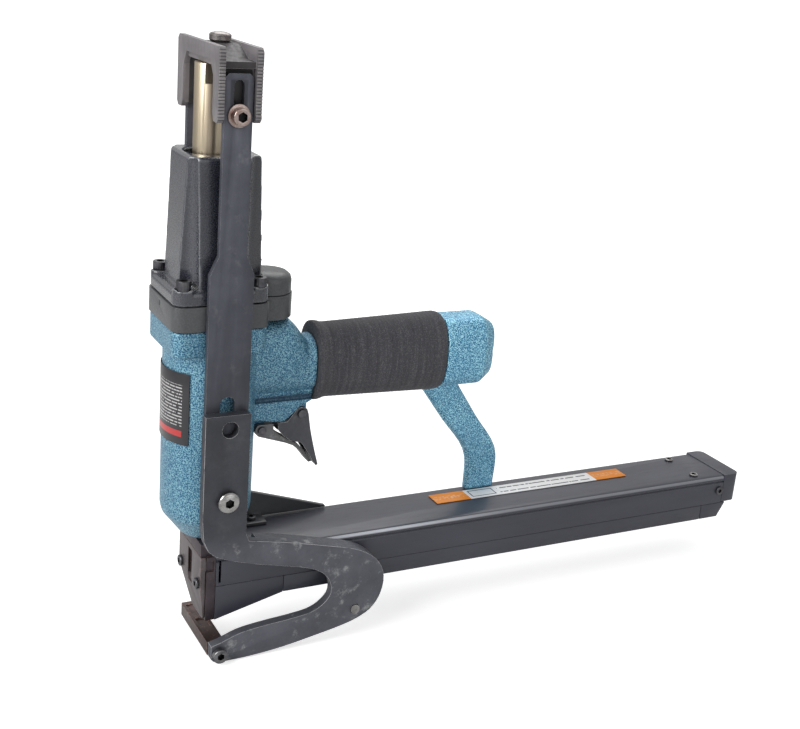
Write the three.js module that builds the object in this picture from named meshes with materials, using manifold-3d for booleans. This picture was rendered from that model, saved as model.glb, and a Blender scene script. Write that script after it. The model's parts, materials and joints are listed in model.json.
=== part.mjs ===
// Pneumatic plier stapler for wide box staples: a hammer-painted body with a horizontal grip, a long
// flat magazine below it, and a clamp frame (rod, yoke, two straps, hook and anvil) that an air piston
// in the tower pulls up, so that the anvil closes on the nose before the blade drives the staple.
//
// Millimetres. X runs back along the magazine, Y across it, Z up. The origin is on the underside of the
// anvil, below the middle of the straps. The side with the hook faces -Y.

import * as THREE from 'three';
import { mergeVertices } from 'three/addons/utils/BufferGeometryUtils.js';
import Module from 'manifold-3d';

const wasm = await Module();
wasm.setup();

// Common values
const seat = 0.3; // gap left between two pieces that touch
const overrun = 2; // how far a cut runs past the face that it opens
const fineSides = 40; // sides of a large round piece
const roundSides = 20; // sides of a small round piece
const slotSteps = 8; // sides of a slot's round end
const labelSteps = 6; // sides of half the body's label

// Magazine
const magHalfWidth = 22;
const magTop = 63.1;
const magSeam = 42; // where the fixed channel meets the sliding drawer
const magBottom = 30.7;
const magFront = 0.5;
const magRear = 389.5;
const magWall = 2;
const magCorner = 3;
const magBeadDepth = 0.9;
const magBeadDrop = 3.6;
const magSlotWidth = 1.6;
const magSlotFromFront = 1.6;
const shoeLength = 43.5;
const shoeTipZ = 19.5; // lowest point of the shoe, just above the closed anvil
const shoeCut = 21.8; // height of the shoe's slanted corner on the far side
const shoeHollowFar = 12; // far side of the hollow, which stays clear of that corner
const drawerBlockLead = 17.5; // how far the block starts ahead of the channel's end
const drawerBlockLength = 22;
const drawerBlockSlant = 6;
const endCapThick = 14;
const endCapRise = 0.5;
const endCapCorner = 5;
const endCapSpigot = 8;

// Staples, their rail and the pusher
const crownHalf = 12.4; // half of the staple's crown width
const wireThick = 1.2;
const stapleTop = 58.4;
const stapleLeg = 15;
const stickLength = 66;
const railHalf = 10.7;
const railWall = 2.4;
const pusherLength = 20;
const pusherHalf = 14;
const pusherTop = 59.6;

// Nose
const noseHalf = 21.7;
const noseRear = 0.2;
const noseBottom = 19.8;
const noseTop = 61.6;
const neckTop = 69.6;
const neckRear = 14;
const neckHalf = 19.5;
const frontPlateFace = -8.5; // X of the front of the nose
const frontPlateThick = 2.9;
const frontPlateHalf = 20.5;
const frontPlateCut = 20; // height of the slanted corner on the far side
const noseLeanTop = 41; // below this the front of the nose leans back to its tip
const noseTipThick = 0.7; // thickness of the front plate at its tip
const channelHalf = 3.5;
const channelLow = 36;
const channelHigh = 58;
const channelDepth = 1.6;
const noseScrewY = 15.3;
const noseScrewZ = 42.5;
const noseScrewR = 3.6;
const noseScrewHead = 1.8;
const noseWindowLow = 52;
const noseWindowHigh = 59;
const noseWindowLength = 4.6;
const noseWindowDepth = 1.8;

// Driver
const bladeThick = 1.2;
const bladeHalf = 12.2;
const bladeLow = 60.8;
const bladeShoulder = 84; // where the blade narrows to its shank
const bladeHigh = 118;
const bladeShankHalf = 5.5;
const driverStroke = 38;
const bladePlay = 0.4; // side play of the blade in its slots

// Body
const bodyR = 27;
const bodyTop = 203.2;
const bodyShoulder = 89; // where the round side starts to close in
const bodyBottom = 70;
const bodyBottomR = 13.5;
const bodyWall = 4.6; // between the liner and the body's side
const linerWall = 2;
const linerLow = 104;
const boreGap = 0.3;
const bumperHeight = 9;
const bumperBore = 8;
const pistonHeight = 16;
const pistonLow = 182;
const ringGrooveDepth = 1.1;
const ringGrooveHeight = 2.6;
const driverNeckR = 6;
const labelHalfAngle = 0.84; // radians each side of the front
const labelLow = 134;
const labelHigh = 177;
const labelThick = 0.5;

// Handle: horn, valve boss, grip and end
const gripAxisZ = 172.3;
const hornHalfY = 14;
const hornTop = 201;
const hornWaistTop = 187.4;
const hornLevel = 19; // from the body's side to where the horn's top starts to dip
const hornLength = 35;
const grooveZ = 153.5;
const grooveDepth = 1.6;
const grooveHeight = 3;
const bossHalfY = 11.8;
const bossFront = 17;
const bossBottom = 139.1;
const coreHalfY = 11;
const coreHalfZ = 14.5;
const airBoreR = 7;
const gripGap = 0.6; // between the horn and the grip
const gripLength = 85.9;
const gripHalfY = 16;
const gripHalfZ = 22.8;
const gripSwellY = 1.4; // how much fuller the grip is at its rear
const gripSwellZ = 2.2;
const gripLip = 1.4;
const gripLipLength = 8;
const endLap = 4; // how far the handle's core runs into its end
const endLength = 36.5;
const endHalfY = 16.6;
const endHalfZ = 22.6;
const endChamfer = 9;
const endChamferIn = 5.2;
const inletR = 10.5;
const inletFlange = 3;
const inletBoreR = 5.8;
const inletDepth = 16;

// Strut from the handle's end down to the magazine
const strutTopZ = 149.4;
const strutThick = 7;
const strutTopY = 2.5; // near face at the top
const strutFootY = 13.5; // near face at the foot
const strutTopFront = 141;
const strutTopWidth = 27;
const strutBendZ = 92;
const strutBendFront = 186;
const strutFootFront = 190.5;
const strutFootWidth = 22.5;

// Valves, trigger and lever
const leverPinOut = 4.8; // from the body's side, as the next two are
const leverPinZ = 132.3;
const leverHalf = 4.3;
const leverBlockHalf = 6;
const leverReach = 34; // pin to tip along X
const leverLugHalf = 2;
const leverLugR = 2.9;
const triggerPinOut = 29.4;
const triggerPinZ = 141.4;
const triggerHalf = 7.4;
const triggerWall = 2;
const triggerDrop = 35.5; // pin to tip along Z
const triggerLugR = 4;
const pinR = 1.6;
const pinHead = 1;
const valveR = 2.3;
const valveBoreR = 1.1;
const valveOut = 10.2;
const valveLength = 11;
const valveFoot = 138.2; // just above the squeezed lever

// Cap: base plate, tower, exhaust cover and their screws
const capFront = -30.2;
const capRear = 26.5;
const capInset = 0.4; // how much narrower the cap is than the body
const capCorner = 7;
const basePlateHeight = 14;
const flangeHeight = 8.2;
const flangeInset = 0.6;
const flangeRound = 2.6; // rounding of the flange's upper edge
const screwRimR = 6; // raised rim round each cap screw
const screwRimHeight = 1.5;
const gaugeSlotHalf = 0.4; // small slot in the front of the base plate
const gaugeSlotLength = 2.8;
const gaugeSlotDrop = 2.4;
const gaugeSlotDepth = 1.2;
const towerTop = 298;
const towerHalfX = 21;
const towerInset = 5.4; // from the cap's side
const towerFlare = 3.2; // how much wider the tower is at its foot
const towerCorner = 3;
const towerEdge = 1.2; // chamfer of its upper edge
const scoopFootR = 8.3; // the hollow beside each cap screw, at its foot and at the tower's top
const scoopTopR = 6.4;
const towerRecessR = 13.4;
const towerRecessDepth = 5;
const clampBoreWall = 6.6;
const clampBoreRoof = 14; // thickness of the tower above the clamp bore
const capScrewX = 21.7;
const capScrewMidX = -2;
const capScrewInset = 5.4; // from the cap's side to the screws' axes
const capScrewR = 4.2;
const capScrewHead = 5.6;
const bodyFlangeHeight = 15;
const capShankR = 2.4;
const exhaustX = 32.6;
const exhaustR = 15;
const exhaustHeight = 12.6;
const exhaustDome = 5.5;

// Clamp frame: rod, piston, yoke, straps
const rodX = -4.5;
const rodR = 8.8;
const rodDrop = 11.5; // from the yoke's top to the rod's top
const clampPistonRise = 15; // of the piston above the cap's seam
const rodPlay = 0.4;
const rodFlatHalf = 5.4;
const rodFlatHeight = 10.5;
const clampPistonHeight = 12;
const clampPistonGap = 0.3;
const yokeHalfX = 11.9;
const yokeOverhang = 2.5; // how far the yoke stands past the straps
const yokeRise = 58.5; // height of the yoke's top over the tower
const yokeHeight = 38.5;
const yokePlate = 3.3;
const yokeLeg = 9.8;
const yokeBand = 8;
const yokeWebLowDrop = 10.9; // from the yoke's top to the underside of its web
const yokeWebEndDrop = 7.3;
const yokeWebCrownDrop = 0.8;
const yokeChamfer = 2.2;
const yokeWindowCut = 5.2; // width of the window's slanted upper corners
const yokeWindowCutHeight = 7.5;
const yokeToothPitch = 1.7;
const yokeToothDepth = 0.5;
const yokeScrewR = 6.1;
const yokeScrewHead = 5.2;
const yokeShankR = 2.5;
const strapClear = 1.3; // between the body's side and the straps' inner faces
const strapThick = 3.7;
const strapNarrow = 7.8;
const strapWide = 12.6;
const strapDrop = 13.3; // from the yoke's top to the straps' tops
const strapShoulder = 10.6; // height of the slope between the two widths
const strapShoulderLow = 236.4;
const strapBottom = 96.5;
const strapSlotHalf = 2.9;
const strapSlotLength = 24;
const strapSlotDrop = 3.2; // from a strap's top to its adjusting slot
const strapWindowHalf = 4.4;
const strapWindowLow = 150;
const strapWindowLength = 16.5;
const clampScrewRise = 3.8; // of the clamp screws above the yoke's lower edge
const clampScrewHeadR = 4.7;
const clampScrewHead = 5;
const clampShankR = 2.6;
const washerR = 6.2;
const washerThick = 1.2;

// Hook, anvil and their fasteners
const hookThick = 6;
const hookPlateFront = -14.6;
const hookPlateRear = 11.9;
const hookPlateOverHole = 8.7;
const hookReach = 104.6;
const hookTipFront = -6.8;
const hookTipHeight = 15;
const hookLift = 0.3; // the hook's lowest edge above the anvil's underside
const hookShoulderZ = 80; // top edge of the upper bar at the plate
const hookFlange = 6;
const hookFlangeThick = 3.6;
const hookFlangeFront = 14;
const hookFlangeRear = 103.5;
const hookHoleZ = 148.9;
const hookHoleR = 4.9;
const hookScrewZ = 105.2;
const hookScrewR = 6.5;
const hookScrewHead = 4;
const hookShankR = 3.4;
const hookPinX = 86.2;
const hookPinZ = 19.6;
const hookPinR = 3.1;
const hookPinProud = 0.6;
const anvilFront = -7.3;
const anvilWidth = 10.6;
const anvilHeight = 11.2;
const anvilFar = 17.5;
const anvilChamfer = 3;
const anvilBoltZ = 6.2;
const anvilBoltR = 4.6;
const anvilBoltHead = 4;
const anvilShankR = 2.4;
const clinchHalf = 3.4;
const clinchDepth = 1.2;
const guideScrewZ = 112;
const guideScrewR = 6.2;
const guideScrewHead = 3;
const clampTravel = 7.5;

// Magazine bracket, labels and small screws
const bracketFront = 26;
const bracketLength = 62;
const bracketHeight = 21;
const bracketFootHeight = 3;
const bracketTipHeight = 1;
const bracketThick = 3;
const bracketFar = 21.4;
const bracketFoot = 12;
const bracketFootLength = 17;
const bracketFootThick = 2;
const smallScrewR = 3.2;
const smallScrewHead = 1.2;
const magLabelFront = 161;
const magLabelLength = 155;
const magLabelNear = -0.6;
const magLabelWidth = 13;
const magLabelThick = 0.4;
const topScrewInset = 22.9; // from the channel's rear end
const topScrewMidY = 0;
const topScrewEdge = 7.8; // from the channel's sides to the screws' axes
const sideScrewInset = 3.5;
const sideScrewZ = 52;

// Helpers: each turns named sizes into a closed solid

function solid(geometry) {
  geometry.deleteAttribute('normal');
  geometry.deleteAttribute('uv');
  const merged = mergeVertices(geometry, 1e-4);
  return new wasm.Manifold(new wasm.Mesh({
    numProp: 3,
    vertProperties: new Float32Array(merged.attributes.position.array),
    triVerts: new Uint32Array(merged.index.array),
  }));
}

function box(x0, x1, y0, y1, z0, z1) {
  const geometry = new THREE.BoxGeometry(x1 - x0, y1 - y0, z1 - z0);
  geometry.translate((x0 + x1) / 2, (y0 + y1) / 2, (z0 + z1) / 2);
  return solid(geometry);
}

// A profile of [radius, z] pairs turned about the vertical line through (x, y)
function turned(profile, x = 0, y = 0, sides = fineSides) {
  const points = profile.map(([r, z]) => new THREE.Vector2(r, z));
  const geometry = new THREE.LatheGeometry([...points, points[0]], sides);
  geometry.rotateX(Math.PI / 2);
  geometry.translate(x, y, 0);
  const made = solid(geometry);
  return made.volume() > 0 ? made : flipped(geometry);
}

// The same surface with its triangles turned over
function flipped(geometry) {
  const merged = mergeVertices(geometry, 1e-4);
  const index = merged.index.array;
  for (let i = 0; i < index.length; i += 3) {
    [index[i], index[i + 1]] = [index[i + 1], index[i]];
  }
  return solid(merged);
}

function postZ(r, x, y, z0, z1, sides = roundSides) {
  return turned([[0, z0], [r, z0], [r, z1], [0, z1]], x, y, sides);
}

function rodAlong(axis, r, a, b, from, to, sides = roundSides) {
  const geometry = new THREE.CylinderGeometry(r, r, Math.abs(to - from), sides);
  const middle = (from + to) / 2;
  if (axis === 'x') geometry.rotateZ(Math.PI / 2).translate(middle, a, b);
  if (axis === 'y') geometry.translate(a, middle, b);
  return solid(geometry);
}

// A flat outline of [x, z] pairs, extruded from y0 to y1
function plateXZ(outline, y0, y1) {
  const shape = new THREE.Shape(outline.map(([x, z]) => new THREE.Vector2(x, z)));
  const geometry = new THREE.ExtrudeGeometry(shape, { depth: y1 - y0, bevelEnabled: false });
  geometry.rotateX(Math.PI / 2).translate(0, y1, 0);
  return solid(geometry);
}

// A flat outline of [y, z] pairs, extruded from x0 to x1
function plateYZ(outline, x0, x1) {
  const shape = new THREE.Shape(outline.map(([y, z]) => new THREE.Vector2(y, z)));
  const geometry = new THREE.ExtrudeGeometry(shape, { depth: x1 - x0, bevelEnabled: false });
  geometry.rotateZ(Math.PI / 2).rotateY(Math.PI / 2).translate(x0, 0, 0);
  return solid(geometry);
}

// A flat outline of [x, y] pairs, extruded from z0 to z1
function plateXY(outline, z0, z1) {
  const shape = new THREE.Shape(outline.map(([x, y]) => new THREE.Vector2(x, y)));
  const geometry = new THREE.ExtrudeGeometry(shape, { depth: z1 - z0, bevelEnabled: false });
  return solid(geometry.translate(0, 0, z0));
}

// Rings of points, one after the other along a piece, skinned and closed at both ends
function loft(rings) {
  const count = rings[0].length;
  const positions = rings.flat(2);
  const index = [];
  for (let k = 0; k + 1 < rings.length; k += 1) {
    for (let i = 0; i < count; i += 1) {
      const a = k * count + i;
      const b = k * count + ((i + 1) % count);
      index.push(a, b, b + count, a, b + count, a + count);
    }
  }
  const ends = [rings[0], rings[rings.length - 1]];
  ends.forEach((ring, end) => {
    const middle = [0, 1, 2].map((axis) => ring.reduce((sum, p) => sum + p[axis], 0) / count);
    const centre = positions.length / 3;
    positions.push(...middle);
    const first = end * (rings.length - 1) * count;
    for (let i = 0; i < count; i += 1) {
      const a = first + i;
      const b = first + ((i + 1) % count);
      index.push(...(end ? [a, b, centre] : [b, a, centre]));
    }
  });
  const geometry = new THREE.BufferGeometry();
  geometry.setAttribute('position', new THREE.Float32BufferAttribute(positions, 3));
  geometry.setIndex(index);
  const made = solid(geometry);
  return made.volume() > 0 ? made : flipped(geometry);
}

// A ring of points round a superellipse across X: power 1 is an ellipse, lower is squarer
function ringX(x, halfY, halfZ, midZ, power, sides = fineSides) {
  const bend = (value) => Math.sign(value) * Math.abs(value) ** power;
  return Array.from({ length: sides }, (_, i) => {
    const angle = (2 * Math.PI * i) / sides;
    return [x, halfY * bend(Math.cos(angle)), midZ + halfZ * bend(Math.sin(angle))];
  });
}

// Corners of a rectangle with rounded corners, as an outline
function roundedOutline(a0, a1, b0, b1, r, steps = 5) {
  const middles = [[a1 - r, b1 - r, 0], [a0 + r, b1 - r, 1], [a0 + r, b0 + r, 2], [a1 - r, b0 + r, 3]];
  return middles.flatMap(([a, b, quarter]) => Array.from({ length: steps + 1 }, (_, i) => {
    const angle = (Math.PI / 2) * (quarter + i / steps);
    return [a + r * Math.cos(angle), b + r * Math.sin(angle)];
  }));
}

// Points along a smooth curve through the given points
function smooth(points, steps) {
  const curve = new THREE.CatmullRomCurve3(points.map(([a, b]) => new THREE.Vector3(a, b, 0)));
  return curve.getPoints(steps).map((p) => [p.x, p.y]);
}

// The same run of [a, b] points moved square to itself, to the right of its direction
function inwards(points, distance) {
  return points.map(([a, b], i) => {
    const [a0, b0] = points[Math.max(i - 1, 0)];
    const [a1, b1] = points[Math.min(i + 1, points.length - 1)];
    const length = Math.hypot(a1 - a0, b1 - b0);
    return [a + (distance * (b1 - b0)) / length, b - (distance * (a1 - a0)) / length];
  });
}

const paint = {
  blue: new THREE.MeshStandardMaterial({ color: 0x3f86b4, roughness: 0.45, metalness: 0.2 }),
  black: new THREE.MeshStandardMaterial({ color: 0x2b2d31, roughness: 0.5, metalness: 0.3 }),
  slate: new THREE.MeshStandardMaterial({ color: 0x34373d, roughness: 0.42, metalness: 0.3 }),
  steel: new THREE.MeshStandardMaterial({ color: 0x47484e, roughness: 0.42, metalness: 0.8 }),
  bare: new THREE.MeshStandardMaterial({ color: 0x8d8988, roughness: 0.3, metalness: 1 }),
  brown: new THREE.MeshStandardMaterial({ color: 0x4a3f3f, roughness: 0.4, metalness: 0.8 }),
  gold: new THREE.MeshStandardMaterial({ color: 0xb8a06a, roughness: 0.25, metalness: 1 }),
  rubber: new THREE.MeshStandardMaterial({ color: 0x3c3a3d, roughness: 0.85, metalness: 0 }),
  brass: new THREE.MeshStandardMaterial({ color: 0xb08d4a, roughness: 0.35, metalness: 1 }),
  print: new THREE.MeshStandardMaterial({ color: 0xd98a3c, roughness: 0.5, metalness: 0 }),
  ink: new THREE.MeshStandardMaterial({ color: 0x1c1c20, roughness: 0.5, metalness: 0 }),
  amber: new THREE.MeshStandardMaterial({ color: 0xc9a24a, roughness: 0.6, metalness: 0 }),
};

const tool = new THREE.Group();

function add(name, shape, material) {
  const made = shape.getMesh();
  const geometry = new THREE.BufferGeometry();
  geometry.setAttribute('position', new THREE.BufferAttribute(new Float32Array(made.vertProperties), 3));
  geometry.setIndex(new THREE.BufferAttribute(new Uint32Array(made.triVerts), 1));
  geometry.computeVertexNormals();
  const mesh = new THREE.Mesh(geometry, material);
  mesh.name = name;
  tool.add(mesh);
  return mesh;
}

// A socket screw along Y: the head stands on the face at `face` and the shank runs inwards by `reach`.
// side is -1 for a head on the near side of its face and 1 for the far side.
function socketScrewY(x, z, face, side, headR, head, shankR, reach) {
  const top = face + side * head;
  const socketR = headR * socketShare;
  return rodAlong('y', headR, x, z, face, top)
    .add(rodAlong('y', shankR, x, z, face - side * reach, face + (side * head) / 2))
    .subtract(rodAlong('y', socketR, x, z, top + side * overrun, top - side * head * socketShare, 6));
}

// The same screw with its head up, standing on a level face
function socketScrewZ(x, y, face, headR, head, shankR, reach) {
  const socketR = headR * socketShare;
  return postZ(headR, x, y, face, face + head)
    .add(postZ(shankR, x, y, face - reach, face + head / 2))
    .subtract(postZ(socketR, x, y, face + head * (1 - socketShare), face + head + overrun, 6));
}

const socketShare = 0.5;

// Shared places worked out from the sizes above

const topScrewX = magRear - topScrewInset;
const sideScrewX = magRear - sideScrewInset;
const topScrewHalf = magHalfWidth - topScrewEdge;
const linerR = bodyR - bodyWall;
const hornShoulder = bodyR + hornLevel;
const hornEnd = bodyR + hornLength;
const gripFront = hornEnd + gripGap;
const gripRear = gripFront + gripLength;
const endRear = gripRear + endLength;
const leverPinX = bodyR + leverPinOut;
const triggerPinX = bodyR + triggerPinOut;
const valveX = bodyR + valveOut;
const capHalf = bodyR - capInset;
const capScrewY = capHalf - capScrewInset;
const towerHalfY = capHalf - towerInset;
const clampBoreR = towerHalfY - clampBoreWall;
const strapInner = bodyR + strapClear;
const strapOuter = strapInner + strapThick;
const yokeHalfY = strapOuter + yokeOverhang;
const yokeTop = towerTop + yokeRise;
const hookInner = strapOuter + seat;
const hookOuter = hookInner + hookThick;
const capLow = bodyTop + seat;
const capSeam = capLow + basePlateHeight;
const flangeLow = capSeam + seat;
const flangeTop = flangeLow + flangeHeight;
const yokeBottom = yokeTop - yokeHeight;
const yokeWebLow = yokeTop - yokeWebLowDrop;
const yokeWebEnd = yokeTop - yokeWebEndDrop;
const yokeWebCrown = yokeTop - yokeWebCrownDrop;
const rodTop = yokeTop - rodDrop;
const rodBottom = capSeam + clampPistonRise + clampPistonHeight;
const clampBoreTop = towerTop - clampBoreRoof;
const clampScrewZ = yokeBottom + clampScrewRise;
const strapTop = yokeTop - strapDrop;
const strapSlotHigh = strapTop - strapSlotDrop;
const strapSlotLow = strapSlotHigh - strapSlotLength;
const strapShoulderHigh = strapShoulderLow + strapShoulder;
const strapWindowHigh = strapWindowLow + strapWindowLength;
const hookPlateTop = hookHoleZ + hookPlateOverHole;
const drawerBlockFront = magRear - drawerBlockLead;
const drawerBlockRear = drawerBlockFront + drawerBlockLength;
const bladeFront = frontPlateFace + frontPlateThick + bladePlay;
const bladeRear = bladeFront + bladeThick;

// Magazine

function magazineOutline(low, inset) {
  const half = magHalfWidth - inset;
  const top = magTop - inset;
  const bead = [
    [half, magTop - magBeadDrop - 2 * magBeadDepth],
    [half - magBeadDepth, magTop - magBeadDrop - magBeadDepth],
    [half, magTop - magBeadDrop],
  ];
  const corner = [[half, top - magCorner], [half - magCorner * cornerShare, top - magCorner * cornerShare],
    [half - magCorner, top]];
  const right = [[half, low], ...(inset ? [] : bead), ...corner];
  return [...right, ...right.map(([y, z]) => [-y, z]).reverse()];
}

const cornerShare = 0.29;

function makeMagazine() {
  const slotFront = magFront + magSlotFromFront;
  const channel = plateYZ(magazineOutline(magSeam, 0), magFront, magRear)
    .subtract(plateYZ(magazineOutline(magSeam - overrun, magWall), magFront - overrun, magRear + overrun))
    .subtract(box(slotFront, slotFront + magSlotWidth, -magHalfWidth - overrun,
      -magHalfWidth + overrun + magWall,
      magSeam + magWall, stapleTop));
  const topScrews = [-1, 1].map((side) => topScrewMidY + side * topScrewHalf);
  const drilled = topScrews.reduce((shape, y) => shape.subtract(
    postZ(smallScrewR / 2 + seat, topScrewX, y, magTop - magWall - overrun, magTop + overrun)), channel)
    .subtract(rodAlong('y', smallScrewR / 2 + seat, sideScrewX, sideScrewZ,
      -magHalfWidth - overrun, -magHalfWidth + magWall + overrun));
  add('magazine_channel', drilled, paint.slate);
  topScrews.forEach((y, i) => {
    add(`magazine_screw_${i + 1}`, socketScrewZ(topScrewX, y, magTop + seat, smallScrewR, smallScrewHead,
      smallScrewR / 2, magWall + endCapSpigot / 2), paint.bare);
  });
  add('magazine_side_screw', socketScrewY(sideScrewX, sideScrewZ, -magHalfWidth - seat, -1, smallScrewR,
    smallScrewHead, smallScrewR / 2, magWall + endCapSpigot / 2), paint.bare);

  const shoeTop = magSeam - seat;
  const shoeRear = magFront + shoeLength;
  const shoe = plateXZ([[magFront, shoeTipZ], [shoeRear, magBottom], [shoeRear, shoeTop], [magFront,
    shoeTop]],
    -magHalfWidth, magHalfWidth)
    .subtract(box(magFront + 2 * magWall, shoeRear - 2 * magWall, -magHalfWidth + 2 * magWall,
      shoeHollowFar, magBottom + magWall, shoeTop + overrun));
  const slant = new THREE.Plane().setFromCoplanarPoints(new THREE.Vector3(magFront, 0, shoeTipZ),
    new THREE.Vector3(shoeRear, magHalfWidth, magBottom),
    new THREE.Vector3(magFront, magHalfWidth, shoeTipZ + shoeCut));
  add('magazine_shoe', shoe.trimByPlane(slant.normal.toArray(), -slant.constant), paint.slate);

  const drawerFront = shoeRear + seat;
  const drawerRear = drawerBlockFront - seat;
  const drawer = box(drawerFront, drawerRear, -magHalfWidth, magHalfWidth, magBottom, shoeTop)
    .subtract(box(drawerFront + magWall, drawerRear - magWall, -magHalfWidth + magWall,
      magHalfWidth - magWall, magBottom + magWall, shoeTop + overrun));
  add('magazine_drawer', drawer, paint.slate);
  add('drawer_block', plateXZ([[drawerBlockFront, magBottom], [drawerBlockRear - drawerBlockSlant,
    magBottom],
    [drawerBlockRear, shoeTop], [drawerBlockFront, shoeTop]], -magHalfWidth, magHalfWidth), paint.slate);

  const capFace = magRear + seat;
  const capBack = capFace + endCapThick;
  const inner = magHalfWidth - magWall - seat;
  const endCap = plateXY([...roundedOutline(capFace - endCapCorner, capBack, -magHalfWidth, magHalfWidth,
    endCapCorner)], magSeam + seat, magTop + endCapRise)
    .subtract(box(capFace - 2 * endCapCorner, capFace, -magHalfWidth - overrun, magHalfWidth + overrun,
      magSeam - overrun, magTop + 2 * overrun))
    .add(plateYZ(magazineOutline(magSeam + seat, magWall + seat), topScrewX - endCapSpigot,
      capFace + overrun));
  const cleared = topScrews.reduce((shape, y) => shape.subtract(postZ(smallScrewR / 2 + seat, topScrewX, y,
    magSeam, magTop + overrun)), endCap)
    .subtract(rodAlong('y', smallScrewR / 2 + seat, sideScrewX, sideScrewZ, -magHalfWidth - overrun,
      -inner + endCapSpigot));
  add('magazine_end_cap', cleared, paint.black);
}

function saddleOutline(half, top, wall, low) {
  return [[-half, low], [-half, top], [half, top], [half, low], [half - wall, low], [half - wall,
    top - wall],
    [wall - half, top - wall], [wall - half, low]];
}

function makeStapleFeed() {
  const railTop = stapleTop - wireThick - seat;
  const railRear = topScrewX - endCapSpigot - seat;
  const railLow = magSeam + seat;
  const railOutline = saddleOutline(railHalf, railTop, railWall, railLow);
  add('staple_rail', plateYZ(railOutline, noseRear + seat + magFront, railRear), paint.bare);
  const stick = saddleOutline(crownHalf, stapleTop, wireThick, stapleTop - stapleLeg);
  const stickFront = noseRear + seat + magFront;
  add('staple_stick', plateYZ(stick, stickFront, stickFront + stickLength), paint.bare);
  const pusherFront = stickFront + stickLength + seat;
  const pusherWall = pusherTop - stapleTop + wireThick;
  const pusher = plateYZ(saddleOutline(pusherHalf, pusherTop, pusherWall - seat, railLow + wireThick),
    pusherFront, pusherFront + pusherLength)
    .subtract(box(pusherFront - overrun, pusherFront + pusherLength + overrun, -railHalf - seat,
      railHalf + seat,
      railLow, railTop + seat));
  add('pusher', pusher, paint.steel);
}

// Nose and driver

function makeNose() {
  const rearOfPlate = frontPlateFace + frontPlateThick;
  const blockFront = rearOfPlate + seat;
  const slotHalf = bladeHalf + bladePlay;
  const slotRear = bladeRear + bladePlay;
  const window = (side) => box(blockFront - overrun, blockFront + noseWindowLength,
    side * noseHalf - noseWindowDepth, side * noseHalf + noseWindowDepth, noseWindowLow, noseWindowHigh);
  const past = noseHalf / frontPlateHalf + overrun / frontPlateHalf;
  const farCorner = (x0, x1) => plateYZ([[0, noseBottom], [0, noseBottom - overrun],
    [frontPlateHalf * past, noseBottom - overrun],
    [frontPlateHalf * past, noseBottom + frontPlateCut * past]], x0, x1);
  const block = box(blockFront, noseRear, -noseHalf, noseHalf, noseBottom, noseTop)
    .add(box(frontPlateFace, noseRear, -neckHalf, neckHalf, noseTop, neckTop))
    .add(box(noseRear - overrun, neckRear, -neckHalf, neckHalf, magTop + seat, neckTop))
    .subtract(box(blockFront - overrun, slotRear, -slotHalf, slotHalf, noseBottom - overrun, noseTop))
    .subtract(box(bladeFront - bladePlay, slotRear, -slotHalf, slotHalf, noseTop - overrun,
      neckTop + overrun))
    .subtract(box(slotRear - overrun, noseRear + overrun, -crownHalf - seat, crownHalf + seat,
      stapleTop - stapleLeg - seat, stapleTop + seat))
    .subtract(window(-1))
    .subtract(window(1))
    .subtract(farCorner(blockFront - overrun, noseRear + overrun));
  const drilled = [-1, 1].reduce((shape, side) => shape.subtract(rodAlong('x', noseScrewR / 2 + seat,
    side * noseScrewY * screwSideShare, noseScrewZ, blockFront - overrun, blockFront + frontPlateThick)),
      block);
  add('nose_block', drilled, paint.brown);

  const top = noseTop - seat;
  const outline = [[-frontPlateHalf, noseBottom + magWall], [-frontPlateHalf + magWall, noseBottom],
    [0, noseBottom], [frontPlateHalf, noseBottom + frontPlateCut], [frontPlateHalf, top],
      [-frontPlateHalf, top]];
  const lean = plateXZ([[frontPlateFace, noseLeanTop], [frontPlateFace - overrun, noseLeanTop],
    [frontPlateFace - overrun, noseBottom - overrun], [rearOfPlate - noseTipThick, noseBottom - overrun],
    [rearOfPlate - noseTipThick, noseBottom]], -noseHalf, noseHalf);
  const plate = plateYZ(outline, frontPlateFace, rearOfPlate)
    .subtract(lean)
    .subtract(box(frontPlateFace - overrun, frontPlateFace + channelDepth, -channelHalf, channelHalf,
      channelLow, channelHigh));
  const holed = [-1, 1].reduce((shape, side) => shape.subtract(rodAlong('x', noseScrewR / 2 + seat,
    side * noseScrewY * screwSideShare, noseScrewZ, frontPlateFace - overrun, rearOfPlate + overrun)),
      plate);
  add('nose_front_plate', holed, paint.brown);

  [-1, 1].forEach((side, i) => {
    const y = side * noseScrewY * screwSideShare;
    const face = frontPlateFace - seat;
    const screw = rodAlong('x', noseScrewR, y, noseScrewZ, face, face - noseScrewHead)
      .add(rodAlong('x', noseScrewR / 2, y, noseScrewZ, face - noseScrewHead / 2,
        rearOfPlate + frontPlateThick))
      .subtract(rodAlong('x', noseScrewR * socketShare, y, noseScrewZ, face - noseScrewHead - overrun,
        face - noseScrewHead * socketShare, 6));
    add(`nose_screw_${i + 1}`, screw, paint.bare);
  });
}

const screwSideShare = 1;

function makeDriver() {
  const pistonR = linerR - linerWall - boreGap;
  const pistonTop = pistonLow + pistonHeight;
  const groove = pistonLow + pistonHeight / 2;
  const piston = turned([[0, pistonLow], [pistonR, pistonLow], [pistonR, groove - ringGrooveHeight / 2],
    [pistonR - ringGrooveDepth, groove - ringGrooveHeight / 2],
    [pistonR - ringGrooveDepth, groove + ringGrooveHeight / 2], [pistonR, groove + ringGrooveHeight / 2],
    [pistonR, pistonTop], [0, pistonTop]])
    .add(postZ(driverNeckR, 0, 0, bladeHigh + seat, pistonLow + overrun));
  add('driver_piston', piston, paint.bare);
  add('driver_blade', box(bladeFront, bladeRear, -bladeHalf, bladeHalf, bladeLow, bladeShoulder)
    .add(box(bladeFront, bladeRear, -bladeShankHalf, bladeShankHalf, bladeShoulder - overrun,
      bladeHigh)), paint.bare);
}

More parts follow.
